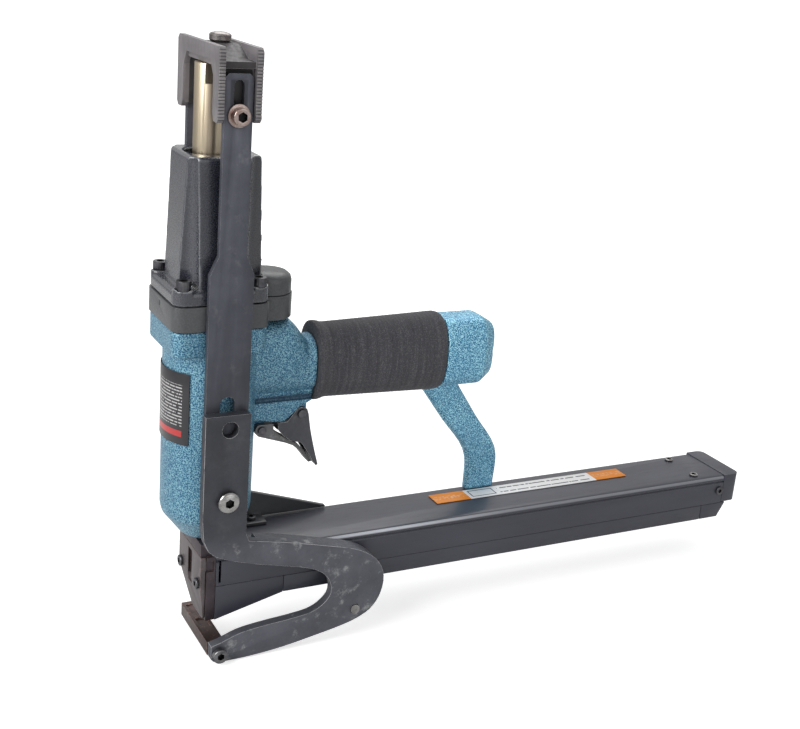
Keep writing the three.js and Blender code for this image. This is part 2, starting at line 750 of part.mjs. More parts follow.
// Body, liner and bumper

function makeBody() {
  const shoulder = bodyShoulder - bodyBottom;
  const round = shoulderShares.map(([out, up]) => [bodyBottomR + (bodyR - bodyBottomR) * out,
    bodyBottom + shoulder * up]);
  const barrel = turned([[0, bodyBottom], ...round, [bodyR, bodyTop], [0, bodyTop]]);

  const hornLow = grooveZ + grooveHeight / 2;
  const hornRing = (x, top, swell) => ringX(x, hornHalfY + swell, (top - hornLow) / 2, (top + hornLow) / 2,
    hornPower);
  const hornStart = bodyR * hornStartShare;
  const drop = hornTop - hornWaistTop;
  const dip = hornEnd - hornShoulder;
  const horn = loft([hornRing(hornStart, hornTop, overrun), hornRing(hornShoulder, hornTop, overrun / 2),
    hornRing(hornShoulder + dip * 0.3, hornTop - drop * 0.35, 0),
    hornRing(hornShoulder + dip * 0.7, hornWaistTop, -overrun / 2), hornRing(hornEnd,
      hornWaistTop + overrun, 0)]);
  const topFlange = plateXY(capOutline(flangeInset), bodyTop - bodyFlangeHeight, bodyTop);
  const bossHeight = grooveZ - bossBottom;
  const bossLength = hornEnd - bossFront;
  const boss = plateXZ([[bossFront, grooveZ + overrun],
    ...bossShares.map(([along, up]) => [bossFront + bossLength * along, bossBottom + bossHeight * up]),
    [hornEnd, grooveZ + overrun]], -bossHalfY, bossHalfY);
  const lug = (x, z, r, half) => box(x - r, x + r, -half, half, z, grooveZ).add(rodAlong('y', r, x, z,
    -half, half));
  const triggerLug = lug(triggerPinX, triggerPinZ, triggerLugR, triggerHalf - triggerWall - seat);
  const leverLug = lug(leverPinX, leverPinZ, leverLugR, leverLugHalf);
  const groove = (side) => box(bossFront - overrun, hornEnd + overrun, side * bossHalfY - grooveDepth,
    side * bossHalfY + overrun, grooveZ - grooveHeight / 2, grooveZ + grooveHeight / 2);
  const core = loft([ringX(hornEnd - overrun, coreHalfY, coreHalfZ, gripAxisZ, 1),
    ringX(gripRear + endLap, coreHalfY, coreHalfZ, gripAxisZ, 1)]);
  const slotFront = bladeFront - bladePlay;
  const slotRear = bladeRear + bladePlay;
  const slotHalf = bladeHalf + bladePlay;
  const casting = barrel.add(topFlange).add(horn).add(boss).add(core)
    .add(triggerLug).add(leverLug)
    .subtract(groove(-1).subtract(postZ(bodyR, 0, 0, 0, bodyTop, fineSides)))
    .subtract(postZ(linerR + boreGap, 0, 0, linerLow - seat, bodyTop + overrun, fineSides))
    .subtract(box(slotFront, slotRear, -slotHalf, slotHalf, bodyBottom - overrun, linerLow))
    .subtract(postZ(driverNeckR + bladePlay, 0, 0, bladeHigh - driverStroke - overrun, linerLow))
    .subtract(rodAlong('x', airBoreR, 0, gripAxisZ, bodyR - overrun, gripRear + endLap + overrun))
    .subtract(rodAlong('y', pinR + boreGap, triggerPinX, triggerPinZ, -bossHalfY, bossHalfY))
    .subtract(rodAlong('y', pinR + boreGap, leverPinX, leverPinZ, -bossHalfY, bossHalfY))
    .subtract(postZ(valveR + seat, valveX, 0, bossBottom - overrun, valveFoot + valveLength + seat));
  const screwed = capScrewPlaces().reduce((shape, [x, y]) => shape.subtract(
    postZ(capShankR + seat, x, y, bodyTop - capScrewHead * 2, bodyTop + overrun)), casting);
  add('body_casting', screwed, paint.blue);

  const bumperR = linerR - linerWall - boreGap;
  add('cylinder_liner', turned([[linerR - linerWall, linerLow], [linerR, linerLow], [linerR, bodyTop - seat],
    [linerR - linerWall, bodyTop - seat]]), paint.bare);
  add('bumper', turned([[bumperBore, linerLow], [bumperR, linerLow], [bumperR, linerLow + bumperHeight],
    [bumperBore, linerLow + bumperHeight]]), paint.amber);

  const labelR = bodyR + seat;
  const sweep = Array.from({ length: 2 * labelSteps + 1 },
    (_, i) => Math.PI + labelHalfAngle * (i / labelSteps - 1));
  const arc = (r) => sweep.map((angle) => [r * Math.cos(angle), r * Math.sin(angle)]);
  add('body_label', plateXY([...arc(labelR + labelThick), ...arc(labelR).reverse()], labelLow,
    labelHigh), paint.ink);
}

// The valve boss from the front of its underside back to the grip: along its length, up its height
const bossShares = [[0, 0.35], [0.16, 0.2], [0.31, 0.07], [0.49, 0], [0.6, 0], [0.71, 0.33], [0.79, 0.56],
  [0.97, 0.84]];
const shoulderShares = [[0, 0], [0.2, 0.12], [0.92, 0.78], [1, 1]];
const hornPower = 0.72;
const hornStartShare = 0.6;

// Grip, handle end, air inlet and strut

function makeHandle() {
  const bore = loft([ringX(gripFront - overrun, coreHalfY + seat, coreHalfZ + seat, gripAxisZ, 1),
    ringX(gripRear + overrun, coreHalfY + seat, coreHalfZ + seat, gripAxisZ, 1)]);
  const ring = (x, extra, swell) => ringX(x, gripHalfY + gripSwellY * swell + extra,
    gripHalfZ + gripSwellZ * swell + extra, gripAxisZ, gripPower);
  const grip = loft([ring(gripFront, gripLip, 0), ring(gripFront + gripLipLength / 4, gripLip, 0),
    ring(gripFront + gripLipLength, 0, 0), ring((gripFront + gripRear) / 2, 0, 0.6),
    ring(gripRear - gripLipLength / 2, 0, 1), ring(gripRear, -gripLip / 2, 1)]).subtract(bore);
  add('grip_sleeve', grip, paint.rubber);

  const endFront = gripRear + seat;
  const endRing = (x, inset) => ringX(x, endHalfY - inset, endHalfZ - inset, gripAxisZ, endPower);
  const inletFace = endRear;
  const socket = loft([ringX(endFront - overrun, coreHalfY + seat, coreHalfZ + seat, gripAxisZ, 1),
    ringX(gripRear + endLap + seat, coreHalfY + seat, coreHalfZ + seat, gripAxisZ, 1)]);
  const end = loft([endRing(endFront, 0), endRing(endRear - endChamfer, 0), endRing(endRear, endChamferIn)])
    .subtract(socket)
    .subtract(rodAlong('x', airBoreR, 0, gripAxisZ, endFront, endRear + overrun))
    .subtract(rodAlong('x', inletR + seat, 0, gripAxisZ, endRear - inletFlange - seat, endRear + overrun,
      fineSides))
    .subtract(rodAlong('x', inletBoreR + inletFlange + seat, 0, gripAxisZ, endRear - inletDepth,
      endRear + overrun));
  add('handle_end', end, paint.blue);
  const bushing = rodAlong('x', inletR, 0, gripAxisZ, inletFace - inletFlange, inletFace, fineSides)
    .add(rodAlong('x', inletBoreR + inletFlange, 0, gripAxisZ, inletFace - overrun,
      endRear - inletDepth + seat))
    .subtract(rodAlong('x', inletBoreR, 0, gripAxisZ, endRear - inletDepth - overrun,
      inletFace + overrun));
  add('air_inlet', bushing, paint.brass);

  const strutFoot = magTop + seat;
  const span = strutTopZ - strutFoot;
  const front = smooth([[strutTopFront, strutTopZ],
    [strutTopFront + (strutBendFront - strutTopFront) * strutLeanShare, (strutTopZ + strutBendZ) / 2],
    [strutBendFront, strutBendZ], [strutFootFront, strutFoot]], strutSteps);
  const widthAt = (z) => strutFootWidth + (strutTopWidth - strutFootWidth) * ((z - strutFoot) / span);
  const nearAt = (z) => strutFootY + (strutTopY - strutFootY) * ((z - strutFoot) / span);
  const rings = front.map(([x, z]) => {
    const near = nearAt(z);
    const rear = x + widthAt(z);
    const edge = strutThick * strutEdgeShare;
    return [[x, near + edge, z], [x + edge, near, z], [rear - edge, near, z], [rear, near + edge, z],
      [rear, near + strutThick - edge, z], [rear - edge, near + strutThick, z], [x + edge,
        near + strutThick, z],
      [x, near + strutThick - edge, z]];
  });
  const strut = loft(rings)
    .subtract(loft([ringX(strutTopFront - 2 * overrun, gripHalfY + gripSwellY + seat,
      gripHalfZ + gripSwellZ + seat,
      gripAxisZ, gripPower), ringX(endFront, gripHalfY + gripSwellY + seat, gripHalfZ + gripSwellZ + seat,
      gripAxisZ, gripPower)]))
    .subtract(loft([endRing(endFront - overrun, -seat), endRing(endRear, -seat)]));
  add('handle_strut', strut, paint.blue);
}

const gripPower = 0.86;
const endPower = 0.6;
const strutLeanShare = 0.5;
const strutSteps = 14;
const strutEdgeShare = 0.3;

// Trigger, lever, pins and valve stem

// Side view of the trigger: along and up from its pin, in shares of its drop
const triggerShares = [[-0.42, -0.13], [-0.256, -0.124], [-0.15, 0.008], [-0.1, 0.075], [-0.042, 0.11],
  [0.028, 0.113],
  [0.099, 0.066], [0.13, -0.03], [0.175, -0.3], [0.225, -0.513], [0.287, -0.752], [0.352, -0.972],
    [0.321, -1],
  [0.251, -0.913], [0.185, -0.79], [0.121, -0.685], [0.062, -0.59], [-0.006, -0.525], [-0.1, -0.505],
  [-0.192, -0.473], [-0.31, -0.383], [-0.417, -0.256]];
// The space between its two side walls, which leaves a web along the rear edge
const triggerHollowShares = [[-0.6, 0.3], [-0.6, -1.2], [0.3, -1.2], [0.292, -0.97], [0.231, -0.752],
  [0.169, -0.513], [0.119, -0.22], [0.3, -0.2], [0.3, 0.3]];
// Side view of the lever, after the round of its eye, in shares of its reach
const leverShares = [[0.02, -0.135], [0.116, -0.183], [0.319, -0.249], [0.478, -0.304], [0.62, -0.368],
  [0.765, -0.496], [0.942, -0.73], [1, -0.716], [0.96, -0.655], [0.829, -0.475], [0.725, -0.357], [0.58,
    -0.278],
  [0.386, -0.162], [0.232, -0.038], [0.212, 0.107], [-0.058, 0.107]];
const leverBlockShares = [[0.02, -0.135], [0.116, -0.16], [0.22, -0.1], [0.212, 0.107], [-0.058, 0.107]];
const leverEyeShare = 0.122;

function makeTrigger() {
  const placed = (shares, x, z, size) => shares.map(([a, b]) => [x + a * size, z + b * size]);
  const inner = triggerHalf - triggerWall;
  const trigger = plateXZ(placed(triggerShares, triggerPinX, triggerPinZ, triggerDrop), -triggerHalf,
    triggerHalf)
    .subtract(plateXZ(placed(triggerHollowShares, triggerPinX, triggerPinZ, triggerDrop), -inner, inner))
    .subtract(rodAlong('y', pinR + seat, triggerPinX, triggerPinZ, -triggerHalf - overrun,
      triggerHalf + overrun));
  add('trigger', trigger, paint.steel);

  const eyeR = leverReach * leverEyeShare;
  const eye = Array.from({ length: 7 }, (_, i) => {
    const angle = Math.PI * (0.7 + i / 8);
    return [leverPinX + eyeR * Math.cos(angle), leverPinZ + eyeR * Math.sin(angle)];
  });
  const finger = plateXZ([...eye, ...placed(leverShares, leverPinX, leverPinZ, leverReach)], -leverHalf,
    leverHalf);
  const block = plateXZ([...eye, ...placed(leverBlockShares, leverPinX, leverPinZ, leverReach)],
    -leverBlockHalf,
    leverBlockHalf);
  const lever = finger.add(block)
    .subtract(box(leverPinX - 2 * eyeR, leverPinX + leverLugR + overrun / 2, -leverLugHalf - seat,
      leverLugHalf + seat, leverPinZ - 2 * eyeR, leverPinZ + 2 * eyeR)
      .subtract(box(leverPinX - 2 * eyeR, leverPinX + 2 * eyeR, -leverHalf, leverHalf, leverPinZ - 2 * eyeR,
        leverPinZ - leverLugR - seat)))
    .subtract(rodAlong('y', pinR + seat, leverPinX, leverPinZ, -leverBlockHalf - overrun,
      leverBlockHalf + overrun));
  add('clamp_lever', lever, paint.steel);

  const pin = (name, x, z, half) => {
    const reach = half + seat;
    add(name, rodAlong('y', pinR, x, z, -reach - pinHead / 2, reach)
      .add(rodAlong('y', pinR + pinHead, x, z, -reach, -reach - pinHead)), paint.bare);
  };
  pin('trigger_pin', triggerPinX, triggerPinZ, triggerHalf);
  pin('lever_pin', leverPinX, leverPinZ, leverBlockHalf);
  add('valve_bushing', postZ(valveR, valveX, 0, valveFoot, valveFoot + valveLength)
    .subtract(postZ(valveBoreR, valveX, 0, valveFoot - overrun, valveFoot + valveLength + overrun)),
    paint.bare);
}

// Cap: base plate, tower, exhaust cover, screws

function capScrewPlaces() {
  return [[-1, -1], [-1, 1], [1, -1], [1, 1]].map(([sx, sy]) => [capScrewMidX + sx * capScrewX,
    sy * capScrewY]);
}

function capOutline(inset) {
  const rear = roundedOutline(capFront + inset, capRear - inset, -capHalf + inset, capHalf - inset,
    capCorner);
  return rear;
}

// Outline of the tower across Z, before its corners are hollowed out for the cap screws
function towerOutline(grow) {
  const hx = towerHalfX + grow;
  const hy = towerHalfY + grow;
  return roundedOutline(-hx, hx, -hy, hy, towerCorner, 3);
}

function makeCap() {
  const lobe = (r, z0, z1) => postZ(r, exhaustX, 0, z0, z1, fineSides)
    .subtract(box(exhaustX - 2 * exhaustR, capRear + seat, -2 * exhaustR, 2 * exhaustR, z0 - overrun,
      z1 + overrun));
  const plateHoles = (shape) => capScrewPlaces().reduce((made, [x, y]) => made.subtract(
    postZ(capShankR + seat, x, y, capLow - overrun, flangeTop + overrun)), shape);
  const base = plateXY(capOutline(0), capLow, capSeam)
    .add(lobe(exhaustR, capLow, capSeam).add(box(capRear - overrun, capRear + 2 * overrun,
      -exhaustR * lobeShare,
      exhaustR * lobeShare, capLow, capSeam)));
  add('cap_base_plate', plateHoles(base).subtract(box(capFront - overrun, capFront + gaugeSlotDepth,
    -gaugeSlotHalf, gaugeSlotHalf, capSeam - gaugeSlotDrop - gaugeSlotLength,
    capSeam - gaugeSlotDrop)), paint.black);

  const edge = [[flangeLow, 0], [flangeTop - flangeRound, 0], [flangeTop - flangeRound * 0.4,
    flangeRound * 0.2], [flangeTop - flangeRound * 0.1, flangeRound * 0.6], [flangeTop, flangeRound]];
  const rims = capScrewPlaces().reduce((made, [x, y]) => made.add(postZ(screwRimR, x, y,
    flangeLow + overrun, flangeTop + screwRimHeight)), postZ(screwRimR, 0, 0, flangeLow + overrun, flangeTop))
    .intersect(plateXY(capOutline(flangeInset), flangeLow, flangeTop + 2 * screwRimHeight));
  const flange = loft(edge.map(([z, inset]) => capOutline(flangeInset + inset).map(([x, y]) => [x, y, z])))
    .add(rims);
  const levels = [[flangeLow + overrun, towerFlare], [flangeTop, towerFlare], [towerTop - towerEdge, 0],
    [towerTop, -towerEdge]];
  const scoop = [[0, flangeTop], [scoopFootR, flangeTop], [scoopTopR, towerTop + overrun],
    [0, towerTop + overrun]];
  const tower = capScrewPlaces().reduce((made, [x, y]) => made.subtract(turned(scoop, x, y)),
    loft(levels.map(([z, grow]) => towerOutline(grow).map(([x, y]) => [x, y, z]))));
  const bore = postZ(clampBoreR, rodX, 0, flangeLow - overrun, clampBoreTop, fineSides)
    .add(postZ(rodR + rodPlay, rodX, 0, clampBoreTop - overrun, towerTop + overrun, fineSides))
    .add(postZ(towerRecessR, rodX, 0, towerTop - towerRecessDepth, towerTop + overrun, fineSides));
  const pockets = capScrewPlaces().reduce((made, [x, y]) => made.subtract(
    postZ(capScrewR + seat, x, y, flangeTop, flangeTop + capScrewHead * 4)), flange.add(tower));
  add('tower', plateHoles(pockets.subtract(bore)), paint.black);

  const domeR = exhaustR - flangeInset;
  const coverTop = flangeLow + exhaustHeight;
  const dome = turned([[0, flangeLow], [domeR, flangeLow], [domeR, coverTop - exhaustDome],
    [domeR * 0.95, coverTop - exhaustDome * 0.55], [domeR * 0.8, coverTop - exhaustDome * 0.22],
    [domeR * 0.5, coverTop - exhaustDome * 0.05], [0, coverTop]], exhaustX, 0)
    .subtract(box(exhaustX - 2 * exhaustR, capRear - flangeInset + seat, -2 * exhaustR, 2 * exhaustR,
      flangeLow - overrun, coverTop + overrun));
  add('exhaust_cover', dome, paint.black);

  capScrewPlaces().forEach(([x, y], i) => {
    const reach = flangeHeight + basePlateHeight + capScrewHead * 1.6;
    add(`cap_screw_${i + 1}`, socketScrewZ(x, y, flangeTop + seat, capScrewR, capScrewHead, capShankR,
      reach),
      paint.steel);
  });
}

const lobeShare = 0.86;

// Clamp frame

function makeClampRod() {
  const flatDepth = rodR - Math.sqrt(rodR ** 2 - rodFlatHalf ** 2);
  const flat = (side) => box(rodX - rodR, rodX + rodR, side > 0 ? rodR - flatDepth : -rodR - overrun,
    side > 0 ? rodR + overrun : flatDepth - rodR, rodTop - rodFlatHeight, rodTop + overrun);
  const rod = postZ(rodR, rodX, 0, rodBottom, rodTop, fineSides)
    .subtract(flat(-1))
    .subtract(flat(1))
    .subtract(postZ(yokeShankR + seat, 0, 0, rodTop - rodFlatHeight - overrun, rodTop + overrun));
  add('clamp_rod', rod, paint.gold);

  const r = clampBoreR - clampPistonGap;
  const high = rodBottom - seat;
  const low = high - clampPistonHeight;
  const groove = (low + high) / 2;
  add('clamp_piston', turned([[0, low], [r, low], [r, groove - ringGrooveHeight / 2],
    [r - ringGrooveDepth, groove - ringGrooveHeight / 2], [r - ringGrooveDepth,
      groove + ringGrooveHeight / 2],
    [r, groove + ringGrooveHeight / 2], [r, high], [0, high]], rodX, 0), paint.bare);
}

function makeYoke() {
  const legInner = yokeHalfY - yokeLeg;
  const bandLow = yokeTop - yokeBand;
  const outer = [[-yokeHalfY, yokeBottom + yokeChamfer], [-yokeHalfY + yokeChamfer, yokeBottom],
    [-legInner - yokeChamfer, yokeBottom], [-legInner, yokeBottom + yokeChamfer * 2],
    [-legInner, bandLow - yokeWindowCutHeight],
    [-legInner + yokeWindowCut, bandLow]];
  const inner = outer.map(([y, z]) => [-y, z]).reverse();
  const archFace = [...outer, ...inner, [yokeHalfY, yokeTop - yokeChamfer], [yokeHalfY - yokeChamfer,
    yokeTop],
    [-yokeHalfY + yokeChamfer, yokeTop], [-yokeHalfY, yokeTop - yokeChamfer]];
  const front = plateYZ(archFace, -yokeHalfX, -yokeHalfX + yokePlate);
  const rear = plateYZ(archFace, yokeHalfX - yokePlate, yokeHalfX);
  const crown = [[-yokeHalfY + yokeChamfer, yokeWebEnd], [-yokeHalfY * 0.6, yokeWebEnd + seat],
    [-yokeScrewR - overrun, yokeWebCrown], [yokeScrewR + overrun, yokeWebCrown], [yokeHalfY * 0.6,
      yokeWebEnd + seat],
    [yokeHalfY - yokeChamfer, yokeWebEnd]];
  const web = plateYZ([[-yokeHalfY + yokeChamfer, yokeWebLow], [yokeHalfY - yokeChamfer, yokeWebLow],
    ...crown.reverse()], -yokeHalfX + yokePlate / 2, yokeHalfX - yokePlate / 2);
  const legWeb = (side) => box(-yokeHalfX + yokePlate / 2, yokeHalfX - yokePlate / 2,
    side > 0 ? legInner : -strapInner + seat, side > 0 ? strapInner - seat : -legInner,
      yokeBottom + yokeChamfer,
    yokeWebLow + overrun);
  const teeth = Math.floor((yokeTop - yokeBand - yokeBottom - 2 * yokeChamfer) / yokeToothPitch);
  let yoke = front.add(rear).add(web).add(legWeb(-1)).add(legWeb(1));
  for (let i = 0; i < teeth; i += 1) {
    const z = yokeBottom + 2 * yokeChamfer + i * yokeToothPitch;
    yoke = yoke.subtract(box(-yokeHalfX - overrun, yokeHalfX + overrun, -yokeHalfY - overrun,
      -yokeHalfY + yokeToothDepth, z, z + yokeToothPitch / 2));
  }
  yoke = yoke.subtract(rodAlong('y', clampShankR + seat, 0, clampScrewZ, -yokeHalfY, yokeHalfY))
    .subtract(postZ(yokeShankR + seat, 0, 0, yokeWebLow - overrun, yokeWebCrown + overrun));
  add('yoke', yoke, paint.steel);

  const face = yokeWebCrown + seat;
  const head = turned([[0, face], [yokeScrewR, face], [yokeScrewR, face + yokeScrewHead * 0.45],
    [yokeScrewR * 0.86, face + yokeScrewHead * 0.8], [yokeScrewR * 0.5, face + yokeScrewHead],
    [0, face + yokeScrewHead]], 0, 0, roundSides)
    .add(postZ(yokeShankR, 0, 0, rodTop - rodFlatHeight, face + overrun))
    .subtract(postZ(yokeShankR, 0, 0, face + yokeScrewHead * 0.5, face + yokeScrewHead + overrun, 6));
  add('yoke_screw', head, paint.bare);
}

function strapOutline(bottom) {
  const right = [[strapWide, bottom + magWall], [strapWide, strapShoulderLow], [strapNarrow,
    strapShoulderHigh],
    [strapNarrow, strapTop - yokeChamfer], [strapNarrow - yokeChamfer, strapTop]];
  const left = right.map(([x, z]) => [-x, z]).reverse();
  return [[strapWide - magWall, bottom], ...right, ...left, [magWall - strapWide, bottom]];
}

function slotXZ(half, low, high, y0, y1) {
  const arc = (middle, from) => Array.from({ length: slotSteps + 1 }, (_, i) => {
    const angle = from + (Math.PI * i) / slotSteps;
    return [half * Math.cos(angle), middle + half * Math.sin(angle)];
  });
  return plateXZ([...arc(high - half, 0), ...arc(low + half, Math.PI)], y0, y1);
}

function makeStraps() {
  const cut = (y0, y1, low, high, half) => slotXZ(half, low, high, y0 - overrun, y1 + overrun);
  [-1, 1].forEach((side) => {
    const y0 = side < 0 ? -strapOuter : strapInner;
    const y1 = y0 + strapThick;
    const name = side < 0 ? 'near' : 'far';
    let strap = plateXZ(strapOutline(strapBottom), y0, y1)
      .subtract(cut(y0, y1, strapSlotLow, strapSlotHigh, strapSlotHalf));
    if (side < 0) {
      strap = strap.subtract(cut(y0, y1, strapWindowLow, strapWindowHigh, strapWindowHalf))
        .subtract(rodAlong('y', hookShankR + seat, 0, hookScrewZ, y0 - overrun, y1 + overrun));
    } else {
      strap = strap.subtract(cut(y0, y1, guideScrewZ - hookShankR - clampTravel - 2 * seat,
        guideScrewZ + hookShankR + 2 * seat, hookShankR + seat));
    }
    add(`${name}_strap`, strap, paint.steel);
    const face = side * (strapOuter + seat);
    const washer = rodAlong('y', washerR, 0, clampScrewZ, face, face + side * washerThick, roundSides)
      .subtract(rodAlong('y', clampShankR + seat, 0, clampScrewZ, face - side * overrun,
        face + side * (washerThick + overrun)));
    add(`${name}_washer`, washer, paint.bare);
    add(`${name}_clamp_screw`, socketScrewY(0, clampScrewZ, face + side * (washerThick + seat), side,
      clampScrewHeadR, clampScrewHead, clampShankR, washerThick + strapThick + 4 * seat + yokeLeg / 2),
        paint.bare);
  });
  const guideFace = strapOuter + seat;
  add('guide_screw', socketScrewY(0, guideScrewZ, guideFace, 1, guideScrewR, guideScrewHead, hookShankR,
    guideFace - bodyR - seat), paint.bare);
}

function hookPoints() {
  const tipX = hookTipFront;
  const reach = hookReach;
  const rise = hookShoulderZ;
  const outer = smooth([[hookPlateRear + overrun, rise * 0.975], [reach * 0.34, rise * 0.922],
    [reach * 0.58, rise * 0.846], [reach * 0.83, rise * 0.752], [reach * 0.95, rise * 0.64], [reach,
      rise * 0.5],
    [reach * 0.985, rise * 0.34], [reach * 0.93, rise * 0.228], [reach * 0.84, rise * 0.16],
    [reach * 0.73, rise * 0.118], [reach * 0.55, rise * 0.072], [reach * 0.36, rise * 0.03],
    [reach * 0.15, hookLift * 1.6], [tipX * 0.4, hookLift]], 44);
  const inner = smooth([[hookPlateFront * 0.42, rise * 0.885], [reach * 0.045, rise * 0.83],
    [reach * 0.18, rise * 0.777], [reach * 0.4, rise * 0.708], [reach * 0.545, rise * 0.65],
    [reach * 0.618, rise * 0.584], [reach * 0.655, rise * 0.5], [reach * 0.656, rise * 0.41],
    [reach * 0.607, rise * 0.333], [reach * 0.54, rise * 0.288], [reach * 0.42, rise * 0.264],
    [reach * 0.25, rise * 0.246], [reach * 0.1, rise * 0.218], [0, rise * 0.17]], 40).reverse();
  return { outer, inner, tipX, rise };
}

function makeHook() {
  const { outer, inner, tipX, rise } = hookPoints();
  const boltFace = -hookOuter;
  const outline = [[hookPlateRear, hookPlateTop], [hookPlateRear, rise * 1.04], ...outer,
    [tipX + hookPinR / 2, hookLift + hookPinR / 3], [tipX, hookPinR], [tipX, anvilHeight + seat],
    ...inner, [hookPlateFront * 0.72, rise * 0.935], [hookPlateFront * 0.92, rise * 1.02],
    [hookPlateFront, rise * 1.18], [hookPlateFront, hookPlateTop]];
  const flangeTopEdge = outer.filter(([x, z]) => x > hookFlangeFront && x < hookFlangeRear && z > rise / 2);
  const flange = plateXZ([...flangeTopEdge, ...inwards(flangeTopEdge, hookFlangeThick).reverse()],
    -hookInner - overrun, -hookInner + hookFlange);
  const hook = plateXZ(outline, -hookOuter, -hookInner)
    .add(flange)
    .subtract(rodAlong('y', hookHoleR, 0, hookHoleZ, -hookOuter - overrun, -hookInner + overrun))
    .subtract(rodAlong('y', hookShankR + seat, 0, hookScrewZ, -hookOuter - overrun, -hookInner + overrun))
    .subtract(rodAlong('y', hookPinR + seat, hookPinX, hookPinZ, -hookOuter - overrun, -hookInner + overrun))
    .subtract(rodAlong('y', anvilShankR + seat, anvilMidX, anvilBoltZ, -hookOuter - overrun,
      -hookInner + overrun));
  add('hook_arm', hook, paint.steel);

  add('hook_screw', socketScrewY(0, hookScrewZ, boltFace - seat, -1, hookScrewR, hookScrewHead, hookShankR,
    hookThick + strapThick), paint.bare);
  add('hook_pin', rodAlong('y', hookPinR, hookPinX, hookPinZ, -hookOuter - hookPinProud, -hookInner),
    paint.bare);
  add('anvil_bolt', socketScrewY(anvilMidX, anvilBoltZ, boltFace - seat, -1, anvilBoltR, anvilBoltHead,
    anvilShankR, hookThick + anvilHeight), paint.bare);

  const nearEnd = -hookInner + seat;
  const clinch = (y) => box(anvilMidX - clinchHalf, anvilMidX + clinchHalf, y - clinchHalf * 1.6,
    y + clinchHalf * 1.6, anvilHeight - clinchDepth, anvilHeight + overrun);
  const anvil = plateXZ([[anvilFront + anvilChamfer, 0], [anvilFront + anvilWidth, 0],
    [anvilFront + anvilWidth, anvilHeight], [anvilFront, anvilHeight], [anvilFront, anvilChamfer]],
      nearEnd, anvilFar)
    .subtract(clinch(-crownHalf * clinchShare))
    .subtract(clinch(crownHalf * clinchShare))
    .subtract(rodAlong('y', anvilShankR + seat, anvilMidX, anvilBoltZ, nearEnd - overrun,
      nearEnd + anvilHeight + overrun));
  add('anvil', anvil, paint.brown);
}

const anvilMidX = anvilFront + anvilWidth / 2;
const clinchShare = 0.7;

// Bracket between body and magazine, and the magazine's label

function makeBracketAndLabel() {
  const foot = magTop + seat;
  const rear = bracketFront + bracketLength;
  const y1 = bracketFar;
  const y0 = y1 - bracketThick;
  const footRear = bracketFront + bracketFootLength;
  const screwX = (bracketFront + footRear) / 2;
  const screwY = y0 - bracketFoot / 2;
  const bracket = plateXZ([[bracketFront, foot], [rear, foot], [rear, foot + bracketTipHeight],
    [bracketFront, foot + bracketHeight]], y0, y1)
    .add(box(bracketFront, footRear, y0 - bracketFoot, y0 + overrun / 2, foot, foot + bracketFootThick))
    .subtract(postZ(smallScrewR / 2 + seat, screwX, screwY, foot - overrun,
      foot + bracketFootHeight + overrun));
  add('magazine_bracket', bracket, paint.black);
  add('bracket_screw', socketScrewZ(screwX, screwY, foot + bracketFootThick + seat, smallScrewR,
    smallScrewHead * 1.6,
    smallScrewR / 2, bracketFootThick), paint.bare);
  add('magazine_label', box(magLabelFront, magLabelFront + magLabelLength, magLabelNear,
    magLabelNear + magLabelWidth, magTop + seat, magTop + seat + magLabelThick), paint.print);
}

makeMagazine();
makeStapleFeed();
makeNose();
makeDriver();
makeBody();
makeHandle();
makeTrigger();
makeCap();
makeClampRod();
makeYoke();
makeStraps();
makeHook();
makeBracketAndLabel();

export default tool;
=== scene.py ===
# %% [markdown]
# # An air-driven plier stapler, dressed for its portrait
# The shapes that carry load or move come from the CAD model, in metres, with Z up. This lesson
# loads them as a fixed frame, softens their edges, gives each a finish made of nodes, and
# replaces the few forms that a CAD solid shows too plainly: the foam grip and the socket
# screws. The box around the whole model is kept.

# %% Load the frame
import json

import bpy
import numpy as np
from mathutils import Matrix, Vector

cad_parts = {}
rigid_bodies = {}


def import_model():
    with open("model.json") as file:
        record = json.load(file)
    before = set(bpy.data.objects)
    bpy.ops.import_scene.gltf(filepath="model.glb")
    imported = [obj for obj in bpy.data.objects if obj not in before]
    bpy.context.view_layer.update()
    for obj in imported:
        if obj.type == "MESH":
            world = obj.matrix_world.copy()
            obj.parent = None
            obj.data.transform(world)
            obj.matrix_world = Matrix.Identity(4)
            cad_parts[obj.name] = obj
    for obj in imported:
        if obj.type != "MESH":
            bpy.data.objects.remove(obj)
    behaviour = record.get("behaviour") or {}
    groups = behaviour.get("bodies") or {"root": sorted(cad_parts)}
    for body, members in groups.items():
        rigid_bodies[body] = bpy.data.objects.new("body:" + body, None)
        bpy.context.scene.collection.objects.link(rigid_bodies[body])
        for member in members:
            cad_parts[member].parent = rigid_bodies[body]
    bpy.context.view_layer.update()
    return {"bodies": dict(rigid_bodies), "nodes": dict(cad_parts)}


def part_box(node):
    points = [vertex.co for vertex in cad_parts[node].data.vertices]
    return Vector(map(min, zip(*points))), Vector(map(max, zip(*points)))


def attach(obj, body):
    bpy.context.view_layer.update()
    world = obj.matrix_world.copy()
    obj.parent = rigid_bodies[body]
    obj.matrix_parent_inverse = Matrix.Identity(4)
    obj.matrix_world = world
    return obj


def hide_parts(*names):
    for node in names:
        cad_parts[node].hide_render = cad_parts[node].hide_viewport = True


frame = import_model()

MM = 0.001


# %% [markdown]
# ## The camera
# The photograph was taken from the front left and a little above, with a normal lens. Camera
# and object are in the same frame, so the camera is one position and three directions: right,
# up and backwards are the columns of its matrix.

